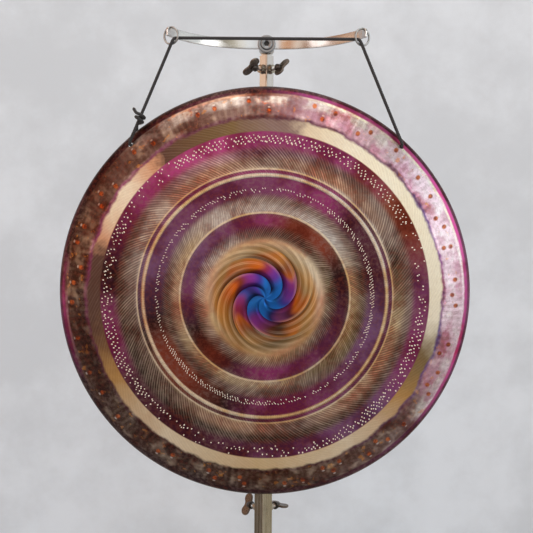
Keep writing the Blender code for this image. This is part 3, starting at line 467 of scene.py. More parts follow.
# From the left hole up to the ring and along to the middle
LEFT_HALF = [
    (-0.243, -0.1088, 1.2125), (-0.2448, -0.1127, 1.214), (-0.2461, -0.1156, 1.2152),
    (-0.2467, -0.118, 1.2173), (-0.2461, -0.1193, 1.2205), (-0.2367, -0.1196, 1.2432),
    (-0.2273, -0.1199, 1.2659), (-0.2178, -0.1201, 1.2886), (-0.2084, -0.1204, 1.3112),
    (-0.199, -0.1207, 1.3339), (-0.1895, -0.121, 1.3566), (-0.1801, -0.1213, 1.3793),
    (-0.1706, -0.1216, 1.402), (-0.1689, -0.1212, 1.4051), (-0.1672, -0.1195, 1.4076),
    (-0.165, -0.1175, 1.4087), (-0.1619, -0.1164, 1.4091), (-0.137, -0.1164, 1.4091),
    (-0.1121, -0.1164, 1.4091), (-0.0872, -0.1164, 1.4091), (-0.0623, -0.1164, 1.4091),
    (-0.0374, -0.1164, 1.4091), (-0.0125, -0.1164, 1.4091),
]
RIGHT_KNOT = [
    (0.2409, -0.1042, 1.2105), (0.2415, -0.1003, 1.2085), (0.2446, -0.0974, 1.2088),
    (0.2443, -0.0971, 1.2131), (0.2399, -0.0993, 1.2164), (0.2355, -0.1032, 1.2155),
    (0.2343, -0.1072, 1.2111), (0.2373, -0.1093, 1.2065), (0.2431, -0.109, 1.2047),
    (0.2481, -0.1073, 1.2073), (0.2497, -0.1058, 1.2129), (0.247, -0.1064, 1.2183),
    (0.2405, -0.1071, 1.2227), (0.234, -0.1058, 1.2253),
]
RIGHT_HALF = [(-x, y, z) for x, y, z in reversed(LEFT_HALF)]
CORD_ROUTE = LEFT_KNOT + LEFT_HALF + RIGHT_HALF + RIGHT_KNOT


# %% A smooth line through the route
def evenly_spaced(points, spacing):
    """Points of a smooth curve through the given ones, about that far apart."""
    points = [Vector(p) for p in points]
    ends = [2 * points[0] - points[1], *points, 2 * points[-1] - points[-2]]
    fine = []
    for a, b, c, d in zip(ends, ends[1:], ends[2:], ends[3:]):
        # A point's slope follows the lengths of the spans beside it, so short spans don't loop.
        ab, bc, cd = [max(((q - p).length) ** 0.5, 1e-6) for p, q in ((a, b), (b, c), (c, d))]
        slope_b = (b - a) / ab - (c - a) / (ab + bc) + (c - b) / bc
        slope_c = (c - b) / bc - (d - b) / (bc + cd) + (d - c) / cd
        for step in range(16):
            t = step / 16
            h = (2 * t**3 - 3 * t**2 + 1, t**3 - 2 * t**2 + t, 3 * t**2 - 2 * t**3, t**3 - t**2)
            fine.append(h[0] * b + h[1] * bc * slope_b + h[2] * c + h[3] * bc * slope_c)
    fine.append(points[-1])
    travelled = np.concatenate([[0], np.cumsum([(q - p).length for p, q in zip(fine, fine[1:])])])
    wanted = np.linspace(0, travelled[-1], round(travelled[-1] / spacing) + 1)
    table = np.array([tuple(p) for p in fine])
    even = (np.interp(wanted, travelled, table[:, k]) for k in range(3))
    return [Vector(p) for p in zip(*even)], travelled[-1]


cord_line, cord_length = evenly_spaced(CORD_ROUTE, 0.00125)
print(f"cord: {cord_length:.3f} m in {len(cord_line)} points")


# %% The braided tube
BRAID_CARRIERS, BRAID_PITCH = 4, 0.0052


def braided_tube(name, line, radius, finish, sides=16):
    """A tube whose two sets of strands cross, rounded to a knot-tight tip at both ends."""
    ahead = (line[1] - line[0]).normalized()
    across = ahead.orthogonal().normalized()
    points, spacing = [], (line[1] - line[0]).length
    for number, centre in enumerate(line):
        before, after = line[max(number - 1, 0)], line[min(number + 1, len(line) - 1)]
        now = (after - before).normalized()
        across = (ahead.rotation_difference(now) @ across).normalized()
        across = (across - now * across.dot(now)).normalized()
        ahead, beside = now, now.cross(across)
        from_end = min(number, len(line) - 1 - number)
        taper = math.sqrt(min(1, (from_end + 0.4) / 2.2))
        wound = math.tau * (number * spacing) / BRAID_PITCH
        for turn in circle(sides):
            crown = max(math.cos(BRAID_CARRIERS * turn + wound), math.cos(BRAID_CARRIERS * turn - wound))
            reach = radius * taper * (0.955 + 0.045 * crown)
            points.append(centre + reach * (math.cos(turn) * across + math.sin(turn) * beside))
    tube = mesh_piece(name, points, capped_faces(len(line), sides), [finish])
    # The finish reads each point's place in the braid: how far along in mm, and its angle.
    places = np.zeros((len(points), 3), np.float32)
    places[:, 0] = np.repeat(np.arange(len(line)) * spacing * 1000, sides)
    angles = math.tau * np.tile(np.arange(sides), len(line)) / sides
    places[:, 1], places[:, 2] = np.cos(angles), np.sin(angles)
    lie = tube.data.attributes.new("cord_place", "FLOAT_VECTOR", "POINT")
    lie.data.foreach_set("vector", places.ravel())
    return tube


def braid_finish():
    """Black polyester braid: fine yarns along the strands, with a painted highlight on the crowns."""
    material, graph, shader = finish_graph("black braid", 0.0, 0.62)
    lie = graph.read("Attribute", "Vector", attribute_type="GEOMETRY", attribute_name="cord_place")
    along, cosine, sine = graph.parts(lie)
    turn = graph.math("ARCTAN2", sine, cosine) * BRAID_CARRIERS
    wound = along * (math.tau / (1000 * BRAID_PITCH))
    crown = graph.math("MAXIMUM", graph.math("COSINE", turn + wound), graph.math("COSINE", turn - wound))
    yarns = graph.noise(graph.point(along * 2.4, cosine * 6, sine * 6), 3.0, 4, 0.7)
    dark = graph.mix(yarns, tint(12, 12, 14), tint(38, 38, 42))
    # The crowns of the strands are painted paler: a painted highlight.
    colour = graph.mix(graph.rise(crown, 0.35, 1.0) * 0.55, dark, tint(58, 58, 64))
    shader["Sheen Weight"].default_value = 0.12
    dress(graph, shader, colour, yarns * 0.2 + 0.52, crown * 0.6 + yarns * 0.5, 0.6, 0.0005)
    return material


BRAID = braid_finish()
cord = braided_tube("braided_cord", cord_line, CORD_RADIUS, BRAID)
mount(cord, "gong", ["suspension_cord"])
print("cord tube:", len(cord.data.vertices), "points")

# %% [markdown]
# ## The gong's shape
#
# A gong is one sheet of bronze, spun and hammered. Its flat face is slightly crowned, a
# flange slopes back from it, and a tight shoulder turns into the rim. The middle has a
# rosette of six twisted folds. A subdivided coarse mesh would blur these steps, so the
# profile is drawn as points, spun in fine steps, and the folds are added by a formula.

# %% The profile of the outer face, in metres
GONG_PLACE = Matrix.Translation((0, -0.068463, 0.945069)) @ Matrix.Rotation(math.radians(95.06133), 4, "X")
SHEET = 0.0018
WHORL_RADIUS, WHORL_HEIGHT, WHORL_FOLDS, WHORL_TWIST = 0.0811, 0.0045, 6, 2.7
FACE_EDGE, FACE_EDGE_DEPTH, CROWN = 0.3245, 0.052891, 0.012
# (radius, height above the crowned face) where its shallow bands start and end
BAND_STEPS = [
    (0, 0), (0.1535, 0), (0.18, -0.0008), (0.2165, 0), (0.22, 0.0008), (0.2235, 0),
    (0.2705, -0.0008), (0.2975, 0), (0.3207, 0),
]


def face_point(radius):
    lift = float(np.interp(radius, *zip(*BAND_STEPS)))
    return (radius, FACE_EDGE_DEPTH + CROWN * (1 - (radius / FACE_EDGE) ** 2) + lift)


def outer_profile():
    """Points from the middle of the face out over the flange to the back edge."""
    face = [face_point(0.320716 * k / 150) for k in range(151)]
    start, corner = Vector((0.320716, 0.052891)), Vector((0.3245, 0.052891))
    end = Vector((0.327599, 0.050721))
    fillet = [(1 - t) ** 2 * start + 2 * t * (1 - t) * corner + t * t * end for t in (0.25, 0.5, 0.75, 1)]
    foot = Vector((0.374177, 0.018106))
    flange = [end.lerp(foot, k / 24) for k in range(1, 25)]
    turns = [math.radians(55 * (1 - k / 10)) for k in range(1, 11)]
    shoulder = [(0.365 + 0.016 * math.cos(a), 0.005 + 0.016 * math.sin(a)) for a in turns]
    lip = [(0.3808, 0.0025), (0.3802, 0.0006), (0.3795, 0)]
    return np.array([*face, *map(tuple, fillet), *map(tuple, flange), *shoulder, *lip])


def whorl(x, y):
    """The height of the rosette's twisted folds."""
    radius = np.hypot(x, y)
    share = np.clip(radius / WHORL_RADIUS, 0, 1)
    phase = np.arctan2(y, x) * WHORL_FOLDS / math.tau + WHORL_TWIST * (1 - share)
    fold = phase % 1
    ridge = np.where(fold < 0.7, fold / 0.7, (1 - fold) / 0.3)
    swell = np.sin(math.pi * share) ** 0.8
    return np.where((share < 1) & (share > 0.01), WHORL_HEIGHT * swell * (ridge - 0.4), 0)


outer = outer_profile()
print("profile:", len(outer), "points out to", outer[:, 0].max(), "m")


# %% The sheet, spun from its outer and inner profile
def gong_sheet(name, steps=432):
    slope = np.gradient(outer, axis=0)
    normal = np.stack([slope[:, 1], -slope[:, 0]], 1) / np.hypot(*slope.T)[:, None]
    inner = (outer + normal * SHEET)[::-4][1:-1]
    inner[:, 1] = np.maximum(inner[:, 1], 0.0002)
    rings = np.concatenate([outer[1:], inner])
    turn = math.tau * np.arange(steps) / steps
    x = (rings[:, :1] * np.cos(turn)).ravel()
    y = (rings[:, :1] * np.sin(turn)).ravel()
    z = np.repeat(rings[:, 1], steps) + whorl(x, y)
    points = np.stack([x, y, z], 1).tolist()
    faces = grid_faces(len(rings), steps)
    top, foot = len(points), len(points) + 1
    points += [(0, 0, outer[0, 1]), (0, 0, outer[0, 1] - SHEET)]
    last = (len(rings) - 1) * steps
    for k in range(steps):
        faces.append((top, (k + 1) % steps, k))
        faces.append((foot, last + k, last + (k + 1) % steps))
    sheet = mesh_piece(name, points, [tuple(reversed(f)) for f in faces])
    sheet.matrix_world = GONG_PLACE
    return sheet


gong = gong_sheet("gong_sheet")
print("sheet:", len(gong.data.polygons), "faces")


# %% The two cord holes
HOLE_RADIUS, HOLE_HEIGHT, HOLE_BORE = 0.3675, 0.022782, 0.0045
HOLE_TURN, FLANGE_SLOPE = math.radians(42), math.radians(35)
for side in (-1, 1):
    outward = Vector((side * math.sin(HOLE_TURN), math.cos(HOLE_TURN), 0))
    normal = outward * math.sin(FLANGE_SLOPE) + Vector((0, 0, 1)) * math.cos(FLANGE_SLOPE)
    spot = outward * HOLE_RADIUS + Vector((0, 0, HOLE_HEIGHT))
    turned = Vector((0, 0, 1)).rotation_difference(normal).to_matrix().to_4x4()
    drill(gong, GONG_PLACE @ Matrix.Translation(spot) @ turned, HOLE_BORE)
mount(gong, "gong", ["gong"])
print("after drilling:", len(gong.data.polygons), "faces")

# %% [markdown]
# ## The gong's colours
#
# Bronze takes heat colours: straw and gold where it was brushed clean, then orange,
# magenta, violet and blue where the flame stayed. Each band of the face has its own
# run of colours round the gong. These runs also hold painted light: pale highlights on
# the right and the upper left, and painted shade at the bottom and the lower left.
# They could be painted on an image. A graph is used instead: one group turns a point
# into a radius and a share of a turn, and each band mixes a few named colours, heat
# colours and painted light, along that turn.

# %% The heat colours and the colours of painted light
HEAT_AND_PAINTED_LIGHT = {
    "silver": tint(222, 214, 208), "cream": tint(238, 222, 194), "straw": tint(222, 194, 148),
    "gold": tint(196, 152, 92), "olive": tint(134, 112, 76), "amber": tint(236, 158, 62),
    "orange": tint(218, 112, 34), "peach": tint(222, 172, 138), "rust": tint(134, 66, 50),
    "brown": tint(100, 72, 64), "umber": tint(58, 40, 40), "taupe": tint(146, 122, 116),
    "rose": tint(206, 152, 174), "pink": tint(186, 78, 142), "magenta": tint(148, 60, 112),
    "plum": tint(124, 66, 104), "violet": tint(126, 88, 130), "maroon": tint(86, 46, 60),
    "pale": tint(255, 248, 226), "pearl": tint(252, 228, 240), "hot pink": tint(226, 92, 168),
    "indigo": tint(74, 56, 150), "blue": tint(40, 112, 198), "navy": tint(38, 46, 92),
    "orchid": tint(136, 60, 152), "red": tint(150, 52, 78), "coffee": tint(84, 50, 30),
}

# %% [markdown]
# Each band is a name, the radius in millimetres where it starts, how softly it starts,
# and its heat colours and painted light by clockwise degrees from the top. The middle
# comes first.

# %% Bands of the face, from the middle out
BANDS = [
    ("eye", 0, 1, "0 blue, 120 blue, 180 navy, 200 blue, 260 blue, 300 navy"),
    ("blue folds", 12, 5, "0 blue, 40 navy, 60 blue, 250 blue, 290 navy, 320 indigo"),
    ("indigo folds", 27, 6, "0 indigo, 60 blue, 110 indigo, 160 navy, 200 indigo, 250 blue, 300 indigo"),
    ("orchid folds", 35, 6,
        "0 orchid, 50 indigo, 100 orchid, 140 plum, 190 orchid, 240 magenta, 300 orchid"),
    ("red folds", 46, 5,
        "0 red, 50 orchid, 90 red, 130 maroon, 170 plum, 200 magenta, 250 red, 300 rust"),
    ("orange folds", 54, 4, "0 orange, 30 rust, 60 orange, 120 orange, 150 coffee, 190 rust, 230 orange"),
    ("amber folds", 68, 6,
        "0 orange, 40 amber, 80 gold, 110 amber, 150 orange, 200 gold, 240 amber, 300 orange, "
        "330 gold"),
    ("gold folds", 80, 5,
        "0 gold, 40 straw, 90 amber, 130 gold, 170 olive, 210 gold, 260 amber, 300 gold, 330 straw"),
    ("pale ring", 93, 6,
        "0 straw, 60 cream, 100 peach, 130 gold, 160 straw, 210 gold, 250 straw, 280 peach, 320 straw"),
    ("slanted edge", 108, 8,
        "0 taupe, 40 brown, 80 olive, 120 taupe, 170 straw, 220 taupe, 260 peach, 320 silver"),
    ("wine ring", 121, 9,
        "0 magenta, 20 rust, 45 rust, 70 umber, 95 maroon, 130 plum, 180 magenta, 205 maroon, "
        "226 rust, 245 umber, 270 plum, 300 violet, 335 plum"),
    ("inner brushing", 152, 2,
        "0 silver, 50 silver, 80 straw, 110 gold, 145 olive, 170 cream, 205 straw, 240 straw, "
        "260 peach, 300 straw, 325 silver"),
    ("inner brushing edge", 168, 9,
        "0 taupe, 40 taupe, 80 brown, 120 olive, 150 taupe, 200 taupe, 250 brown, 290 taupe, "
        "330 silver"),
    ("violet ring", 181, 6,
        "0 plum, 30 magenta, 50 maroon, 80 maroon, 105 violet, 140 plum, 175 magenta, 200 umber, "
        "222 rust, 240 rust, 258 umber, 285 violet, 330 plum"),
    ("thin ring", 216.8, 1,
        "0 silver, 70 silver, 110 straw, 150 gold, 185 cream, 220 cream, 270 peach, 320 cream"),
    ("wine line", 223.3, 1,
        "0 magenta, 30 magenta, 50 maroon, 85 plum, 120 plum, 170 magenta, 195 maroon, 228 rust, "
        "250 umber, 285 violet, 330 magenta"),
    ("edge line", 230.5, 1.2,
        "0 cream, 50 silver, 90 straw, 200 straw, 250 taupe, 285 silver, 330 peach"),
    ("outer brushing", 234, 4,
        "0 taupe, 30 peach, 60 taupe, 75 umber, 100 straw, 140 peach, 165 taupe, 190 peach, 225 brown, "
        "255 brown, 275 taupe, 300 silver, 335 peach"),
    ("outer brushing edge", 252, 9,
        "0 plum, 40 taupe, 100 taupe, 150 brown, 200 umber, 240 umber, 270 brown, 300 taupe, 340 rose"),
    ("dotted ring", 266, 6,
        "0 magenta, 30 magenta, 50 rust, 66 rust, 85 plum, 110 magenta, 135 violet, 165 plum, "
        "200 maroon, 235 maroon, 255 magenta, 280 umber, 305 magenta, 325 pink, 345 pink"),
    # The pale stretches of the gold brushing, on the right and the upper left, are painted highlights.
    ("gold brushing", 297.4, 1.2,
        "0 taupe, 8 taupe, 13 cream, 30 pale, 95 pale, 112 olive, 125 gold, 150 cream, 180 straw, "
        "215 cream, 240 gold, 262 brown, 284 brown, 290 peach, 305 pale, 318 peach, 322 brown, "
        "350 olive"),
    ("violet fringe", 320, 3,
        "0 maroon, 25 plum, 50 violet, 60 indigo, 85 magenta, 100 indigo, 125 violet, 150 maroon, "
        "190 umber, 240 maroon, 290 magenta, 330 plum"),
    # From the hammered flange out to the rim, the runs paint the flange's reflection: pale pink and white on
    # the right, where the light falls, and dark brown at the bottom and on the left.
    ("hammered flange", 326, 4,
        "0 taupe, 20 rose, 45 pearl, 60 rose, 85 pearl, 110 rose, 125 taupe, 140 brown, 180 coffee, "
        "210 umber, 245 coffee, 270 umber, 295 brown, 315 taupe, 335 brown"),
    ("flange highlight", 346, 6,
        "0 silver, 25 silver, 50 pearl, 75 rose, 100 pearl, 125 silver, 138 taupe, 160 brown, "
        "200 umber, 245 coffee, 262 brown, 280 umber, 300 brown, 315 taupe, 335 silver"),
    ("flange edge", 362, 2,
        "0 rust, 20 pale, 60 pale, 90 pearl, 120 pearl, 140 taupe, 160 umber, 200 umber, 245 brown, "
        "262 rose, 285 umber, 310 brown, 330 silver, 345 peach"),
    ("shoulder", 367, 1.5,
        "0 umber, 12 magenta, 30 pink, 60 hot pink, 85 pink, 110 hot pink, 130 plum, 150 maroon, "
        "200 umber, 240 umber, 258 magenta, 268 pink, 280 umber, 300 umber, 340 maroon"),
    ("rim", 373.5, 1.5,
        "0 umber, 30 maroon, 60 maroon, 80 plum, 110 plum, 130 maroon, 190 umber, 240 umber, 262 plum, "
        "275 maroon, 320 umber"),
]
# The painted shade of the flange's dents: pale on the right, where the light falls, and dark elsewhere
FLANGE_SHADE = (
    
        "0 brown, 25 rose, 45 pearl, 100 pearl, 118 rose, 135 brown, 170 coffee, 250 umber, "
        "290 coffee, 330 brown"
)
print("bands:", len(BANDS), "heat colours:", len(HEAT_AND_PAINTED_LIGHT))


# %% Groups that read a place on the disc, brush it and mark it
def make_disc_group():
    """A place's radius in millimetres, its clockwise share of a turn, and a point that follows both."""
    graph, given = node_group("place on the disc", {}, ["Radius", "Turn"], ["Along"])
    x, y, _ = graph.parts(graph.read("TexCoord", "Object"))
    length = graph.length(x, y)
    radius = length * 1000
    turn = graph.math("FRACT", graph.math("ARCTAN2", x, y) / math.tau)
    nearest = graph.math("MAXIMUM", length, 0.0001)
    return graph.give(Radius=radius, Turn=turn, Along=graph.point(x / nearest, y / nearest, radius))


def make_brush_group():
    """Fine lines across a band: Count of them round the disc, turning by Lean for each millimetre out."""
    inputs = {"Radius": 0.0, "Turn": 0.0, "Count": 280.0, "Lean": 0.0005}
    graph, given = node_group("brushed lines", inputs, ["Lines", "Strokes"])
    turned = given["Radius"] * given["Lean"] + given["Turn"]
    phase = turned * given["Count"]
    angle = turned * math.tau
    spot = graph.point(graph.math("COSINE", angle), graph.math("SINE", angle), given["Radius"] * 0.0016)
    strokes = graph.noise(spot, 26.0, 3, 0.55)
    drift = graph.noise(spot, 9.0, 2, 0.5) * 5.0
    wave = graph.math("SINE", phase * math.tau + drift)
    return graph.give(Lines=graph.rise(wave, -0.7, 1.0), Strokes=graph.rise(strokes, 0.25, 0.75))


def make_marks_group():
    """Hammer marks in one ring: a mask of them, of the painted glint beside each and of the painted shade
    round it.
    """
    inputs = {
        "Radius": 0.0, "Turn": 0.0, "Ring": 340.0, "Count": 40.0,
        "Shift": 0.0, "Half Across": 6.0, "Half Along": 3.0, "Presence": 0.9,
    }
    graph, given = node_group("hammer marks", inputs, ["Mark", "Glint", "Halo"])
    ring, count = given["Ring"], given["Count"]
    cells = given["Turn"] * count + given["Shift"]
    number = graph.math("FLOOR", cells) % count
    chance = graph.add("TexWhiteNoise", noise_dimensions="2D")
    one, two, three = graph.parts(graph.fed(chance, {"Vector": graph.point(number, ring, 0.0)}, "Color"))
    sideways = graph.math("FRACT", cells) - 0.5 - (one - 0.5) * 0.55
    along = sideways * (ring * math.tau / count) / given["Half Along"]
    across = (given["Radius"] - ((two - 0.5) * 7.0 + ring)) / given["Half Across"]
    distance = graph.length(along, across)
    there = graph.math("LESS_THAN", three, given["Presence"])
    mark = graph.rise(distance, 1.1, 0.5) * there
    dent_shade = graph.rise(distance, 2.6, 0.9) * there
    glint = graph.rise(graph.length(along * 1.2, (across - 1.15) * 2.2), 0.9, 0.3) * there
    return graph.give(Mark=mark, Glint=glint, Halo=dent_shade)


DISC, BRUSH, MARKS = make_disc_group(), make_brush_group(), make_marks_group()
print("groups:", [group.name for group in (DISC, BRUSH, MARKS)])


# %% The gong's finish
# (from, to, soft edge, lines round the gong, lean, depth) of each brushed zone
BRUSHED = (
    (228, 268, 9, 270.0, 0.00060, 0.9), (150, 184, 8, 290.0, -0.00065, 0.9),
    (108, 128, 7, 200.0, -0.0008, 0.9), (299, 322, 3, 210.0, 0.0009, 0.14),
    (216, 224, 1, 420.0, 0.0, 0.5), (322, 364, 4, 180.0, 0.0, 0.3), (62, 100, 9, 16.0, 0.0054, 0.7),
)


def round_the_gong(graph, turn, run):
    """A closed run of heat colours and painted light by clockwise degrees, such as "0 gold, 180 plum"."""
    stops = [stop.split(" ", 1) for stop in run.split(", ")]
    stops = [(int(degrees) / 360, HEAT_AND_PAINTED_LIGHT[name]) for degrees, name in stops]
    return graph.colours(turn, [*stops, (1.0, stops[0][1])], "LINEAR")


def gong_finish():
    """One finish for both sides of the sheet: its colours, painted highlights and painted shade go by the
    place on the disc.
    """
    material, graph, shader = finish_graph("heat-tinted bronze with painted light", 1.0, 0.34)
    disc = graph.use(DISC)
    radius, turn = disc["Radius"], disc["Turn"]
    where = graph.read("TexCoord", "Object")
    grain = graph.noise(disc["Along"], 14.0, 4, 0.7)
    clouds = graph.noise(where, 14.0, 4, 0.6)
    specks = graph.noise(where, 150.0, 4, 0.7)

    def zone(start, inner, outer, end):
        """1 between the inner and the outer radius, and 0 before the start and after the end."""
        return graph.rise(radius, start, inner) * graph.rise(radius, end, outer)

    # Flame work isn't even: the places of the colours wander a little round the gong.
    wandering = graph.math("FRACT", turn + (clouds * 0.07 + 0.965))
    fold_phase = (0.25 - turn) * WHORL_FOLDS + (radius * (-WHORL_TWIST / (1000 * WHORL_RADIUS)) + WHORL_TWIST)
    fold = graph.math("FRACT", fold_phase)
    from_middle = fold - 0.5
    # The colours in the rosette follow its straight folds, and its outer swirl trails off.
    in_whorl = graph.rise(radius, 96.0, 74.0)
    sway = from_middle * from_middle * (radius * 0.62) - from_middle * 14.0
    swayed = radius - sway * in_whorl
    wavy = graph.noise(where, 30.0, 3, 0.6) * 16.0 - 8.0
    swayed = zone(306.0, 318.0, 360.0, 366.0) * wavy + swayed
    colour = round_the_gong(graph, wandering, BANDS[0][-1])
    for _, start, softness, run in BANDS[1:]:
        band = round_the_gong(graph, wandering, run)
        colour = graph.mix(graph.rise(swayed, start - softness, start + softness), colour, band)
    # Each fold of the rosette gets painted shade towards its foot and a painted highlight along its crease.
    swirl = in_whorl * graph.rise(radius, 4.0, 22.0)
    colour = graph.mix(fold**2.2 * (swirl * 0.9), colour, HEAT_AND_PAINTED_LIGHT["umber"], "MULTIPLY")
    crease = graph.rise(fold, 0.22, 0.0) * graph.rise(radius, 40.0, 62.0)
    colour = graph.mix(crease * (swirl * 0.45), colour, HEAT_AND_PAINTED_LIGHT["amber"], "SCREEN")
    # Brushed bands catch the light on fine slanted lines.
    height = grain
    for low, high, soft, count, lean, depth in BRUSHED:
        lines = graph.use(BRUSH, Radius=radius, Turn=turn, Count=count, Lean=lean)
        inside = zone(low - soft, low + soft, high - soft, high + soft)
        lit = (lines["Lines"] * 0.75 + 0.25) * (lines["Strokes"] * 0.7 + 0.3)
        colour = graph.mix(lit * inside * (0.45 * depth), colour, HEAT_AND_PAINTED_LIGHT["cream"], "SCREEN")
        colour = graph.mix((1.0 - lit) * inside * (0.65 * depth), colour, HEAT_AND_PAINTED_LIGHT["umber"], "MULTIPLY")
        height = height + lines["Lines"] * inside
    # Bright lines were turned into the sheet where the brushed bands begin.
    for ring, half in ((153.2, 1.6), (219.9, 1.5), (230.8, 1.3)):
        off = graph.math("ABSOLUTE", radius - ring)
        colour = graph.mix(graph.rise(off, half * 1.6, half * 0.5) * 0.75, colour, HEAT_AND_PAINTED_LIGHT["cream"])
    # The flange is beaten into shallow dents, with painted shade in them: dark on the left and at the bottom,
    # pale on the right. Painted glints brighten it here and there.
    on_flange = zone(318.0, 328.0, 364.0, 371.0)
    dents_and_shade = graph.rise(graph.noise(where, 30.0, 3, 0.55), 0.42, 0.64) * on_flange
    shade = round_the_gong(graph, turn, FLANGE_SHADE)
    colour = graph.mix(dents_and_shade * 0.85, colour, shade)
    amber_spots = graph.rise(graph.noise(where, 62.0, 3, 0.6), 0.60, 0.68) * on_flange
    colour = graph.mix(amber_spots * 0.45, colour, HEAT_AND_PAINTED_LIGHT["amber"])
    glints = graph.rise(graph.noise(where, 40.0, 2, 0.5), 0.50, 0.72) * on_flange
    colour = graph.mix(glints * 0.8, colour, graph.mix(0.35, colour, HEAT_AND_PAINTED_LIGHT["cream"]), "SCREEN")
    # Two staggered rows of hammer marks go round it, each with painted shade round it and a painted glint.
    for ring, shift, presence in ((352.0, 0.0, 0.8), (338.0, 0.5, 0.55)):
        marks = graph.use(
            MARKS, Radius=radius, Turn=turn, Ring=ring, Count=40.0, Shift=shift,
            Half_Across=6.0, Half_Along=5.0, Presence=presence,
        )
        colour = graph.mix(marks["Halo"] * 0.5, colour, shade)
        struck = graph.mix(graph.rise(specks, 0.4, 0.6), HEAT_AND_PAINTED_LIGHT["rust"], HEAT_AND_PAINTED_LIGHT["orange"])
        colour = graph.mix(marks["Mark"] * 0.95, colour, struck)
        colour = graph.mix(marks["Glint"] * 0.8, colour, HEAT_AND_PAINTED_LIGHT["silver"])
        height = height - marks["Halo"] * 1.6
    height = height - dents_and_shade * 1.4
    # A dusty mottling dulls every colour a little, and the gold brushing the least.
    on_gold = zone(296.0, 300.0, 318.0, 324.0)
    outside = graph.rise(radius, 78.0, 120.0) * (1.0 - on_gold * 0.85)
    dusty = graph.rise(clouds, 0.42, 0.62) * (outside * 0.6)
    colour = graph.mix(dusty, colour, graph.mix(specks, HEAT_AND_PAINTED_LIGHT["umber"], HEAT_AND_PAINTED_LIGHT["rust"]), "OVERLAY")
    speckled = graph.rise(specks, 0.44, 0.62) * (outside * 0.30)
    colour = graph.mix(speckled, colour, graph.mix(graph.rise(clouds, 0.4, 0.6), HEAT_AND_PAINTED_LIGHT["taupe"], HEAT_AND_PAINTED_LIGHT["rust"]))
    colour = graph.mix(graph.rise(grain, 0.45, 0.75) * 0.22, colour, HEAT_AND_PAINTED_LIGHT["umber"], "MULTIPLY")
    dress(graph, shader, colour, grain * 0.2 + 0.26, height, 0.25, 0.0006)
    return material


gong.data.materials.clear()
gong.data.materials.append(gong_finish())
print("gong finish:", len(gong.data.materials[0].node_tree.nodes), "nodes")

# %% [markdown]
# ## Punched marks
#
# A punch left rows of bright dots in the magenta ring, and a ring of short dashes
# further in. A bump in the finish would be lost at this size, so the marks are small
# burnished studs just on the sheet: one mesh of dots and one of dashes.


# %% Dots and dashes
STUD_SIDES = 7


def studs(name, places, finish):
    """Small domes on the face from (radius, turn, half along, half across, lean)."""
    points, faces = [], []
    for radius, turn, half_along, half_across, lean in places:
        out = Vector((math.sin(turn), math.cos(turn), 0))
        beside = Vector((math.cos(turn), -math.sin(turn), 0))
        lean_out = out * math.cos(lean) + beside * math.sin(lean)
        lean_beside = beside * math.cos(lean) - out * math.sin(lean)
        middle = out * radius + Vector((0, 0, face_point(radius)[1] + 0.00005))
        first = len(points)
        for share, height in ((1.0, 0), (0.6, 0.00022)):
            for a in circle(STUD_SIDES):
                offset = lean_beside * (half_along * share * math.cos(a))
                offset += lean_out * (half_across * share * math.sin(a))
                points.append(middle + offset + Vector((0, 0, height)))
        for k in range(STUD_SIDES):
            after, top = (k + 1) % STUD_SIDES, first + STUD_SIDES
            faces.append((first + after, first + k, top + k, top + after))
        faces.append(tuple(first + 2 * STUD_SIDES - 1 - k for k in range(STUD_SIDES)))
        faces.append(tuple(first + k for k in range(STUD_SIDES)))
    piece = mesh_piece(name, points, faces, [finish])
    piece.matrix_world = GONG_PLACE
    return piece


def dot_places(seed=11):
    """Dots in five uneven rows, thick in some stretches and thin in others."""
    chance = random.Random(seed)
    places = []
    steps = 230
    for row, radius in enumerate((0.2940, 0.2900, 0.2858, 0.2818, 0.2780)):
        for k in range(steps):
            turn = math.tau * (k + 0.3 * row) / steps
            crowd = 0.46 + 0.30 * math.sin(3 * turn + 0.5 * row) + 0.2 * math.sin(7 * turn + row + 1)
            left_side = math.radians(250) < turn < math.radians(300)
            crowd = max(crowd, 0.62) if left_side else crowd
            first_sixth = turn < math.radians(62) or turn > math.radians(325)
            if row == 0 and first_sixth or chance.random() > (0.85 if first_sixth and row else crowd):
                continue
            size = chance.uniform(0.0011, 0.0018)
            near = (radius + chance.gauss(0, 0.0010), turn + chance.gauss(0, 0.002))
            places.append((*near, size * 0.8, size, 0.2))
    return places


def dash_places(seed=5):
    """Short slanted dashes in three rows, most of them in two stretches of the ring."""
    chance = random.Random(seed)
    places = []
    steps = 240
    for row, radius in enumerate((0.1962, 0.1932, 0.1905)):
        for k in range(steps):
            turn = math.tau * (k + 0.4 * row) / steps
            degrees = math.degrees(turn)
            thick = 35 < degrees < 110 or 180 < degrees < 250
            wanted = ((0.95, 0.75, 0.5) if thick else (0.7, 0.35, 0.1))[row]
            if chance.random() < wanted:
                near = (radius + chance.gauss(0, 0.0004), turn + chance.gauss(0, 0.002))
                places.append((*near, 0.0007, 0.0016, -0.5))
    return places


PUNCHED = worn_metal("burnished punch marks", tint(250, 240, 226), tint(214, 186, 160), 0.36)
dots = studs("punched_dots", dot_places(), PUNCHED)
dashes = studs("punched_dashes", dash_places(), PUNCHED)
for marks in (dots, dashes):
    mount(marks, "gong")
counts = [len(marks.data.polygons) // (STUD_SIDES + 2) for marks in (dots, dashes)]
print("punched marks:", counts[0], "dots and", counts[1], "dashes")

# %% [markdown]
# ## The bowed bar
#
# The bar is a steel strip on edge, bent to a bow, with a notch near each tip where a
# ring sits. It could be cut from a bent block. Here a rounded section is swept along
# the bow instead, and the section's top dips where the notches and corners are.

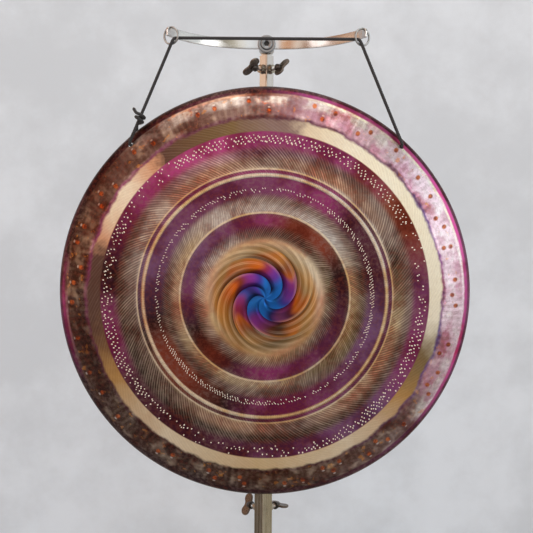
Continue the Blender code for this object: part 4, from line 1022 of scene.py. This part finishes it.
# %% The strip's section, swept along the bow
BAR_Z, BAR_HEIGHT, BAR_THICKNESS, BAR_MIDDLE_Y = 1.420, 0.018, 0.004, -0.0238
BAR_FLAT, BOW_RADIUS, BAR_HALF_LENGTH, NOTCH_ALONG = 0.018, 0.1810, 0.218637, 0.208637
TOP_CORNER, BOTTOM_CORNER, NOTCH_HALF, NOTCH_DEPTH = 0.007, 0.0025, 0.0029, 0.0034
BOLT_BORE = 0.0053


def bar_point(along, across, z):
    """A point of the bar: a straight middle, and an arc on each side."""
    angle = math.copysign(max(0, abs(along) - BAR_FLAT) / BOW_RADIUS, along)
    straight = min(max(along, -BAR_FLAT), BAR_FLAT)
    reach = BOW_RADIUS + across
    y = BAR_MIDDLE_Y - BOW_RADIUS + reach * math.cos(angle)
    return Vector((straight + reach * math.sin(angle), y, BAR_Z + z))


def bar_edges(along):
    """The strip's bottom and top at a place along it, with its corners and notch."""

    def cut(size):
        """How much a rounded corner takes away here."""
        return size - math.sqrt(max(0, size**2 - (size - from_tip) ** 2)) if from_tip < size else 0

    from_tip = BAR_HALF_LENGTH - abs(along)
    top, bottom = BAR_HEIGHT / 2 - cut(TOP_CORNER), -BAR_HEIGHT / 2 + cut(BOTTOM_CORNER)
    beside = abs(abs(along) - NOTCH_ALONG)
    if beside < NOTCH_HALF:
        floor = BAR_HEIGHT / 2 - NOTCH_DEPTH
        top = min(top, floor + NOTCH_HALF - math.sqrt(NOTCH_HALF**2 - beside**2))
    return bottom, top


def bowed_bar(name, finish):
    stations = list(np.linspace(0, NOTCH_ALONG - 0.0045, 60))
    stations += list(NOTCH_ALONG + NOTCH_HALF * np.sin(np.linspace(-math.pi / 2, math.pi / 2, 17)) * 0.9999)
    stations += list(NOTCH_ALONG + NOTCH_HALF * np.array([-1.001, 1.001]))
    stations += list(BAR_HALF_LENGTH - TOP_CORNER * (1 - np.sin(np.linspace(0.02, math.pi / 2, 16))))
    stations = sorted(set(round(float(s), 7) for s in stations))
    stations = [-s for s in reversed(stations) if s > 0] + stations
    edge, points = 0.0007, []
    turns = (0, math.pi / 6, math.pi / 3, math.pi / 2)
    corner = [(edge * (1 - math.cos(a)), edge * (1 - math.sin(a))) for a in turns]
    for along in stations:
        bottom, top = bar_edges(along)
        near_end = min(1, (BAR_HALF_LENGTH - abs(along) + 0.0002) / edge)
        half = BAR_THICKNESS / 2 - edge * (1 - math.sqrt(1 - (1 - near_end) ** 2))
        section = []
        for sx, sz, order in ((1, 1, 1), (-1, 1, -1), (-1, -1, 1), (1, -1, -1)):
            for in_x, in_z in corner[::order]:
                section.append((sx * (half - in_x), (top - in_z) if sz > 0 else (bottom + in_z)))
        points += [bar_point(along, across, z) for across, z in section]
    faces = capped_faces(len(stations), len(section))
    return mesh_piece(name, points, [tuple(reversed(f)) for f in faces], [finish])


bar = bowed_bar("bowed_bar", BAR_STEEL)
bolt_line = Matrix.Translation((0, BAR_MIDDLE_Y, BAR_Z)) @ Matrix.Rotation(math.radians(90), 4, "X")
drill(bar, bolt_line, BOLT_BORE)
mount(bar, "head", ["crossbar"])
print("bar:", [round(v * 1000) for v in bar.dimensions], "mm")

# %% [markdown]
# ## Rings
#
# The two rings are bright round wire, bent and welded smooth, so each is a torus.


# %% Two chromed rings
def wire_ring(name, place, finish, radius=0.015, wire=0.002, steps=96, sides=24):
    points = []
    for turn in circle(steps):
        for a in circle(sides):
            reach = radius + wire * math.cos(a)
            spot = Vector((reach * math.cos(turn), wire * math.sin(a), reach * math.sin(turn)))
            points.append(place @ spot)
    return mesh_piece(name, points, grid_faces(steps, sides, closed_rows=True), [finish])


# Each ring leans from its notch towards the cord, and the right one mirrors the left.
for name, side in (("ring_left", -1), ("ring_right", 1)):
    ring_place = Matrix((
        (side * 0.860576, -0.489939, side * 0.139173, side * 0.173486),
        (0.494754, side * 0.869033, 0.0, -0.11525),
        (-0.120946, side * 0.068856, 0.990268, 1.413327),
        (0, 0, 0, 1),
    ))
    ring = wire_ring("chromed_" + name, ring_place, CHROME)
    mount(ring, "gong", [name])
print("rings in place")

# %% [markdown]
# ## The head that holds the bar
#
# A round boss is welded on the stem's top, and the bar lies across its front. A bolt
# goes through a recessed disc, the bar and the boss to a washer and nut behind. These
# are turned parts, so a profile spun round gives them the rounded edges of real ones.

# %% Boss, disc, bolt, washer and nut
HEAD_AT = Vector((0, 0, BAR_Z))
DISC_BACK, WASHER_BACK, NUT_BACK = -0.0264, 0.0163, 0.0246
DISC_THICKNESS, DISC_RECESS, CLEARANCE = 0.006, 0.0025, 0.0003
AXIS = 0.00005  # a solid's profile starts this far out, so that no two points meet


def facing_front(y):
    """The place of a part that is made along Z and faces the front."""
    return Matrix.Translation(HEAD_AT + Vector((0, y, 0))) @ Matrix.Rotation(math.radians(90), 4, "X")


def rounded(radius, low, high, edge=0.0006, bore=0.0):
    """A disc's profile with rounded outer edges, solid or with a bore."""
    arc = [(math.sin(a), 1 - math.cos(a)) for a in (math.radians(d) for d in (0, 22, 45, 67, 90))]
    foot = [(radius - edge + edge * s, low + edge * c) for s, c in arc]
    head = [(radius - edge + edge * s, high - edge * c) for s, c in reversed(arc)]
    inner = max(bore, AXIS)
    return [(inner, low), *foot, *head, (inner, high)]


def hexagon(name, across, low, high, finish, place, edge=0.0007):
    """A hexagonal nut or bolt head, its corners turned down at both ends."""
    points, steps = [], 36
    rows = ((0.93, low), (1.0, low + edge), (1.0, high - edge), (0.93, high))
    for share, height in rows:
        for turn in circle(steps):
            to_flat = across / 2 / math.cos((turn % (math.pi / 3)) - math.pi / 6)
            reach = min(to_flat, across / 2 * 1.12) * share if share < 1 else to_flat
            points.append(place @ Vector((reach * math.cos(turn), reach * math.sin(turn), height)))
    return mesh_piece(name, points, capped_faces(len(rows), steps), [finish])


def threaded(radius, low, high, pitch=0.00125, depth=0.0005):
    """A threaded shank's profile: crests and roots a pitch apart."""
    turns = int((high - low - 0.001) / pitch)
    root = radius - depth
    profile = [(AXIS, low), (root, low)]
    for k in range(turns):
        at = low + 0.0005 + k * pitch
        tooth = ((root, 0.1), (radius, 0.45), (radius, 0.6), (root, 0.95))
        profile += [(out, at + share * pitch) for out, share in tooth]
    return profile + [(root, high), (AXIS, high)]


def join(first, *others):
    """Adds the other pieces' meshes to the first, and keeps one object."""
    bpy.ops.object.select_all(action="DESELECT")
    for piece in (first, *others):
        piece.select_set(True)
    bpy.context.view_layer.objects.active = first
    bpy.ops.object.join()
    return first


boss_profile = rounded(0.015, -0.014, 0.0215, 0.0008)
boss = lathe("head_boss_turned", boss_profile, TUBE_STEEL, 72, facing_front(0))
mount(boss, "head", ["head_boss"])
disc_profile = [
    (0.0053, 0.0), (0.0165, 0.0), (0.01697, 0.0003), (0.0170, 0.0008), (0.0170, 0.0046), (0.01685, 0.0052),
    (0.0163, 0.0058), (0.0155, 0.0060), (0.0122, 0.0060), (0.0118, 0.0058), (0.0116, 0.0054),
    (0.0116, 0.0036), (0.0053, 0.0035),
]
disc = lathe("pivot_disc_turned", disc_profile, ZINC, 96, facing_front(DISC_BACK))
mount(disc, "head", ["pivot_disc"])
head_seat = DISC_BACK - DISC_THICKNESS + DISC_RECESS - CLEARANCE
bolt_head = lathe("pivot_bolt_turned", rounded(0.011, 0.0, 0.0045, 0.0011), ZINC, 72, facing_front(head_seat))
# The socket's walls take the black finish of the cutter: painted shade inside the recess.
socket = hexagon("socket", 0.009, 0.0012, 0.006, BLACK_PLASTIC, facing_front(head_seat), 0.0002)
cut_away(bolt_head, socket, "TRANSFER")
bolt_shank = lathe("pivot_shank", threaded(0.005, -0.0576, 0.0004), DARK_STEEL, 40, facing_front(head_seat))
mount(join(bolt_head, bolt_shank), "head", ["pivot_bolt"])
washer_profile = rounded(0.010, 0, 0.002, 0.0003, BOLT_BORE)
washer = lathe("pivot_washer_turned", washer_profile, BAR_STEEL, 64, facing_front(WASHER_BACK))
mount(washer, "head", ["pivot_washer"])
nut = hexagon("pivot_nut_turned", 0.017, 0, 0.008, BAR_STEEL, facing_front(NUT_BACK))
mount(nut, "head", ["pivot_nut"])
print("head parts:", [o.name for o in (boss, disc, bolt_head, washer, nut)])

# %% [markdown]
# ## Clamp screws
#
# Four wing screws clamp the tubes. Each has a tapered hub with two round ears, as
# cast, on a threaded shank through a nut that is welded to the tube: the upper pair on
# its two front faces, the lower pair on its two back faces. The ears could be sculpted.
# A flat outline with a wide round bevel gives the cast look.

# %% A cast wing screw
# The height of each, the width of its tube, and how far the screw is turned, in degrees
WINGS = {
    "upper_left": (1.3765, 0.020, -8), "upper_right": (1.3765, 0.020, 95),
    "lower_left": (0.5269, 0.025, -23), "lower_right": (0.5269, 0.025, -42),
}
BASE_BODIES = {"lower": "base", "upper": "upper_mast"}
NUT_LENGTH, HUB_OFF_NUT, TUBE_WALL = 0.008, 0.0105, 0.0025


def clamp_place(where, outward):
    """The place of a clamp part that far out from the mast's axis, the lower pair on its back faces."""
    side = -1 if where.endswith("left") else 1
    out = Vector((side, 1 if where.startswith("lower") else -1, 0)).normalized()
    frame_out = Vector((0, 0, 1)).rotation_difference(out).to_matrix().to_4x4()
    return Matrix.Translation(Vector((0, 0, WINGS[where][0])) + out * outward) @ frame_out


def wing_blade(name, finish, place):
    """Both ears and the web between them, 4.4 mm thick with fully rounded edges."""
    turns = [math.radians(degrees) for degrees in range(-70, 112, 9)]
    ear = [(0.0120 + 0.0097 * math.cos(a), 0.0130 + 0.0097 * math.sin(a)) for a in turns]
    right = [(0.0062, 0.0012), (0.0092, 0.0028), *ear, (0.0056, 0.0203), (0.0032, 0.0192), (0.0012, 0.0188)]
    outline = right + [(-x, y) for x, y in reversed(right)]
    curve = bpy.data.curves.new(name, "CURVE")
    curve.dimensions, curve.fill_mode = "2D", "BOTH"
    curve.extrude, curve.bevel_depth, curve.bevel_resolution = 0.0008, 0.0014, 5
    curve.offset = -curve.bevel_depth
    spline = curve.splines.new("POLY")
    spline.points.add(len(outline) - 1)
    for point, (x, y) in zip(spline.points, outline):
        point.co = (x, y, 0, 1)
    spline.use_cyclic_u = True
    drawn = placed(name, curve)
    mesh = made_mesh(drawn)
    bpy.data.objects.remove(drawn)
    mesh.transform(place @ Matrix.Rotation(math.radians(90), 4, "X"))
    mesh.polygons.foreach_set("use_smooth", [True] * len(mesh.polygons))
    mesh.set_sharp_from_angle(angle=math.radians(50))
    mesh.materials.clear()
    mesh.materials.append(finish)
    return placed(name, mesh)


def wing_screw(where):
    _, tube, turn = WINGS[where]
    hub_at = tube / 2 + CLEARANCE + NUT_LENGTH + HUB_OFF_NUT
    inner = tube / 2 - TUBE_WALL
    place = clamp_place(where, hub_at) @ Matrix.Rotation(math.radians(turn), 4, "Z")
    hub_profile = [
        (AXIS, 0), (0.0071, 0), (0.0076, 0.0003), (0.0077, 0.0008), (0.0076, 0.0022), (0.0066, 0.0060),
        (0.0057, 0.0096), (0.0052, 0.0105), (0.0044, 0.0110), (AXIS, 0.0110),
    ]
    hub = lathe("wing_screw_" + where + "_cast", hub_profile, DARK_STEEL, 56, place)
    blade = wing_blade("blade_" + where, WING_STEEL, place)
    shank_profile = threaded(0.004, -(hub_at - inner - CLEARANCE), 0.0006)
    shank = lathe("shank_" + where, shank_profile, BAR_STEEL, 40, place)
    return mount(join(hub, blade, shank), "wing_" + where, ["wing_screw_" + where])


def weld_bead(where):
    """The lumpy ring of weld that joins a clamp nut to the tube."""
    place = clamp_place(where, WINGS[where][1] / 2 + 0.0004)
    points, steps, sides = [], 90, 10
    for a in circle(steps):
        size = 0.0011 * (1 + 0.22 * math.sin(19 * a) + 0.1 * math.sin(7 * a + 1))
        for b in circle(sides):
            reach, up = 0.0082 + size * math.cos(b), max(size * math.sin(b), 0)
            points.append(place @ Vector((reach * math.cos(a), reach * math.sin(a), up)))
    faces = grid_faces(steps, sides, closed_rows=True)
    bead = mesh_piece("weld_" + where, points, faces, [WELD_STEEL])
    return mount(bead, BASE_BODIES[where.split("_")[0]])


for where in WINGS:
    screw, bead = wing_screw(where), weld_bead(where)
print("wing screw:", [round(v * 1000, 1) for v in screw.dimensions], "mm")

# %% [markdown]
# ## Feet
#
# Each leg stands on a round rubber foot with a ribbed waist, so that it grips.

# %% Ribbed rubber feet
foot_profile = [(AXIS, 0), (0.0115, 0), (0.0122, 0.0003), (0.0128, 0.0012), (0.0130, 0.0022)]
for groove in range(4):
    z = 0.0035 + 0.0030 * groove
    rib = ((0.0130, 0), (0.0126, 0.0003), (0.0124, 0.0008), (0.0126, 0.0013), (0.0130, 0.0016))
    foot_profile += [(out, z + up) for out, up in rib]
foot_profile += [
    (0.0130, 0.0158), (0.0124, 0.0176), (0.0110, 0.0190), (0.0098, 0.0197), (0.0030, 0.0197),
    (0.0030, 0.0238), (AXIS, 0.0238),
]
for number in range(1, 5):
    low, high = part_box(f"foot_{number}")
    middle = (low + high) / 2
    stands = Matrix.Translation((middle.x, middle.y, low.z))
    foot = lathe(f"foot_{number}_ribbed", foot_profile, BLACK_RUBBER, 56, stands)
    mount(foot, f"leg_{number}", [f"foot_{number}"])
print("foot:", [round(v * 1000, 1) for v in foot.dimensions], "mm")

# %% [markdown]
# ## Finishes for the solids that keep their shape
#
# The square tubes, brackets, bolts and caps are right as they are. Each gets its finish,
# and all but the tubes and the stem get a small bevel that rounds the edges, because no
# real edge is perfectly sharp.

# %% Dress the kept solids
KEPT = {
    "lower_tube": (OLIVE_STEEL, 0.0), "upper_tube": (BRIGHT_STEEL, 0.0), "stem": (BRIGHT_STEEL, 0.0),
    "lower_tube_plug": (BLACK_PLASTIC, 0.0004), "upper_tube_glide": (BLACK_PLASTIC, 0.0003),
}
for where in ("lower", "upper"):
    for side in ("left", "right"):
        KEPT[f"{where}_clamp_nut_{side}"] = (TUBE_STEEL, 0.0004)
for number in range(1, 5):
    KEPT[f"leg_tube_{number}"] = (TUBE_STEEL, 0.0)
    KEPT[f"leg_cap_{number}"] = (BLACK_PLASTIC, 0.0004)
    KEPT[f"leg_bracket_{number}"] = (TUBE_STEEL, 0.0004)
    KEPT[f"leg_bolt_{number}"] = (DARK_STEEL, 0.0004)
    KEPT[f"leg_nut_{number}"] = (BAR_STEEL, 0.0004)
for name, (finish, edge) in KEPT.items():
    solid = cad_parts[name]
    solid.data.materials.clear()
    solid.data.materials.append(finish)
    if edge:
        bevel = solid.modifiers.new("edge", "BEVEL")
        bevel.width, bevel.segments, bevel.limit_method = edge, 2, "ANGLE"
        bevel.angle_limit = math.radians(40)
bare = sorted(n for n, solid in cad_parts.items() if n not in KEPT and not solid.hide_render)
print("dressed:", len(KEPT), "solids; not yet:", bare)

# %% [markdown]
# ## Floor, wall and light
#
# The photograph has a pale plaster wall and soft light from all sides. A plain floor
# and a wall give that. The wall lets the camera through from behind, so that the other
# views aren't blocked. Large soft lamps keep metal readable without hard glints.

# %% Pale floor and plaster wall
def plain_surface(name, corners, colour, mottle):
    """A mottled flat surface with trowel marks: the object and its graph."""
    mesh = bpy.data.meshes.new(name)
    mesh.from_pydata(corners, [], [(0, 1, 2, 3)])
    material, graph, shader = finish_graph(name, 0.0, 0.9)
    where = graph.read("TexCoord", "Object")
    cloud, trowel = graph.noise(where, 2.2, 7, 0.62), graph.noise(where, 14.0, 5, 0.6)
    darker = tuple(v * (1 - mottle) for v in colour[:3]) + (1,)
    paler = tuple(min(v * (1 + mottle), 1) for v in colour[:3]) + (1,)
    patches = graph.colours(cloud, [(0.36, darker), (0.64, paler)])
    dress(graph, shader, graph.mix(trowel * 0.25, patches, colour), 0.9, trowel, 0.15, 0.004)
    mesh.materials.append(material)
    return placed(name, mesh), graph


floor_corners = [(-7, -7, 0), (7, -7, 0), (7, 7, 0), (-7, 7, 0)]
WALL_Y = 1.6
wall_corners = [(-5, WALL_Y, 0), (5, WALL_Y, 0), (5, WALL_Y, 4), (-5, WALL_Y, 4)]
floor, _ = plain_surface("floor", floor_corners, tint(192, 196, 200), 0.02)
wall, plaster = plain_surface("wall", wall_corners, tint(221, 232, 243), 0.09)
behind = plaster.read("NewGeometry", "Backfacing")
solid, clear = plaster.tree.nodes["Principled BSDF"].outputs[0], plaster.read("BsdfTransparent", 0)
either = plaster.fed(plaster.add("MixShader"), {0: behind, 1: solid, 2: clear})
plaster.feed(plaster.tree.nodes["Material Output"].inputs, {"Surface": either})
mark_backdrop(floor, wall)

world = bpy.data.worlds.new("pale room")
world.use_nodes = True
room = Graph(world.node_tree)
across = room.parts(room.read("TexCoord", "Generated"))[0] * 0.5 + 0.5
ROOM_LIGHT = 1.34
ROOM = [
    (0.0, tint(222, 182, 154)), (0.10, tint(150, 108, 84)), (0.22, tint(170, 130, 104)),
    (0.30, tint(240, 222, 206)), (0.38, tint(206, 150, 112)), (0.45, tint(230, 184, 146)),
    (0.49, tint(224, 229, 233)), (0.58, tint(242, 246, 249)), (0.66, tint(240, 236, 226)),
    (0.74, tint(176, 168, 148)), (0.80, tint(146, 138, 122)), (0.88, tint(174, 182, 187)),
    (1.0, tint(224, 228, 228)),
]
# The camera itself sees a plain pale backdrop, and only the metal sees the room.
seen = room.read("LightPath", "Is Camera Ray")
backdrop = room.mix(seen, room.colours(across, ROOM), tint(208, 209, 211))
strength = ROOM_LIGHT - seen * (ROOM_LIGHT - 1)
room.feed(world.node_tree.nodes["Background"].inputs, {"Color": backdrop, "Strength": strength})
bpy.context.scene.world = world


def soft_lamp(name, place, target, size, power, colour=(1, 1, 1)):
    """A large rectangular lamp that faces its target."""
    data = bpy.data.lights.new(name, "AREA")
    data.shape, data.size, data.size_y = "RECTANGLE", *size
    data.energy, data.color = power, colour
    lamp = placed(name, data)
    aim = (Vector(target) - Vector(place)).to_track_quat("-Z", "Y").to_matrix().to_4x4()
    lamp.matrix_world = Matrix.Translation(place) @ aim
    return lamp


for lamp in (
    soft_lamp("window", (-2.6, -2.2, 2.0), (0, 0, 1.0), (1.4, 2.2), 15),
    soft_lamp("fill", (2.6, -2.0, 1.5), (0, 0, 1.0), (1.4, 2.0), 17, (1.0, 0.99, 0.97)),
    soft_lamp("sky", (0, -0.4, 3.4), (0, 0.2, 1.0), (2.6, 2.0), 14),
):
    print(lamp.name, round(lamp.data.energy), "W")

low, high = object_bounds()
print("visual box:", [round(v, 4) for v in (*low, *high)])
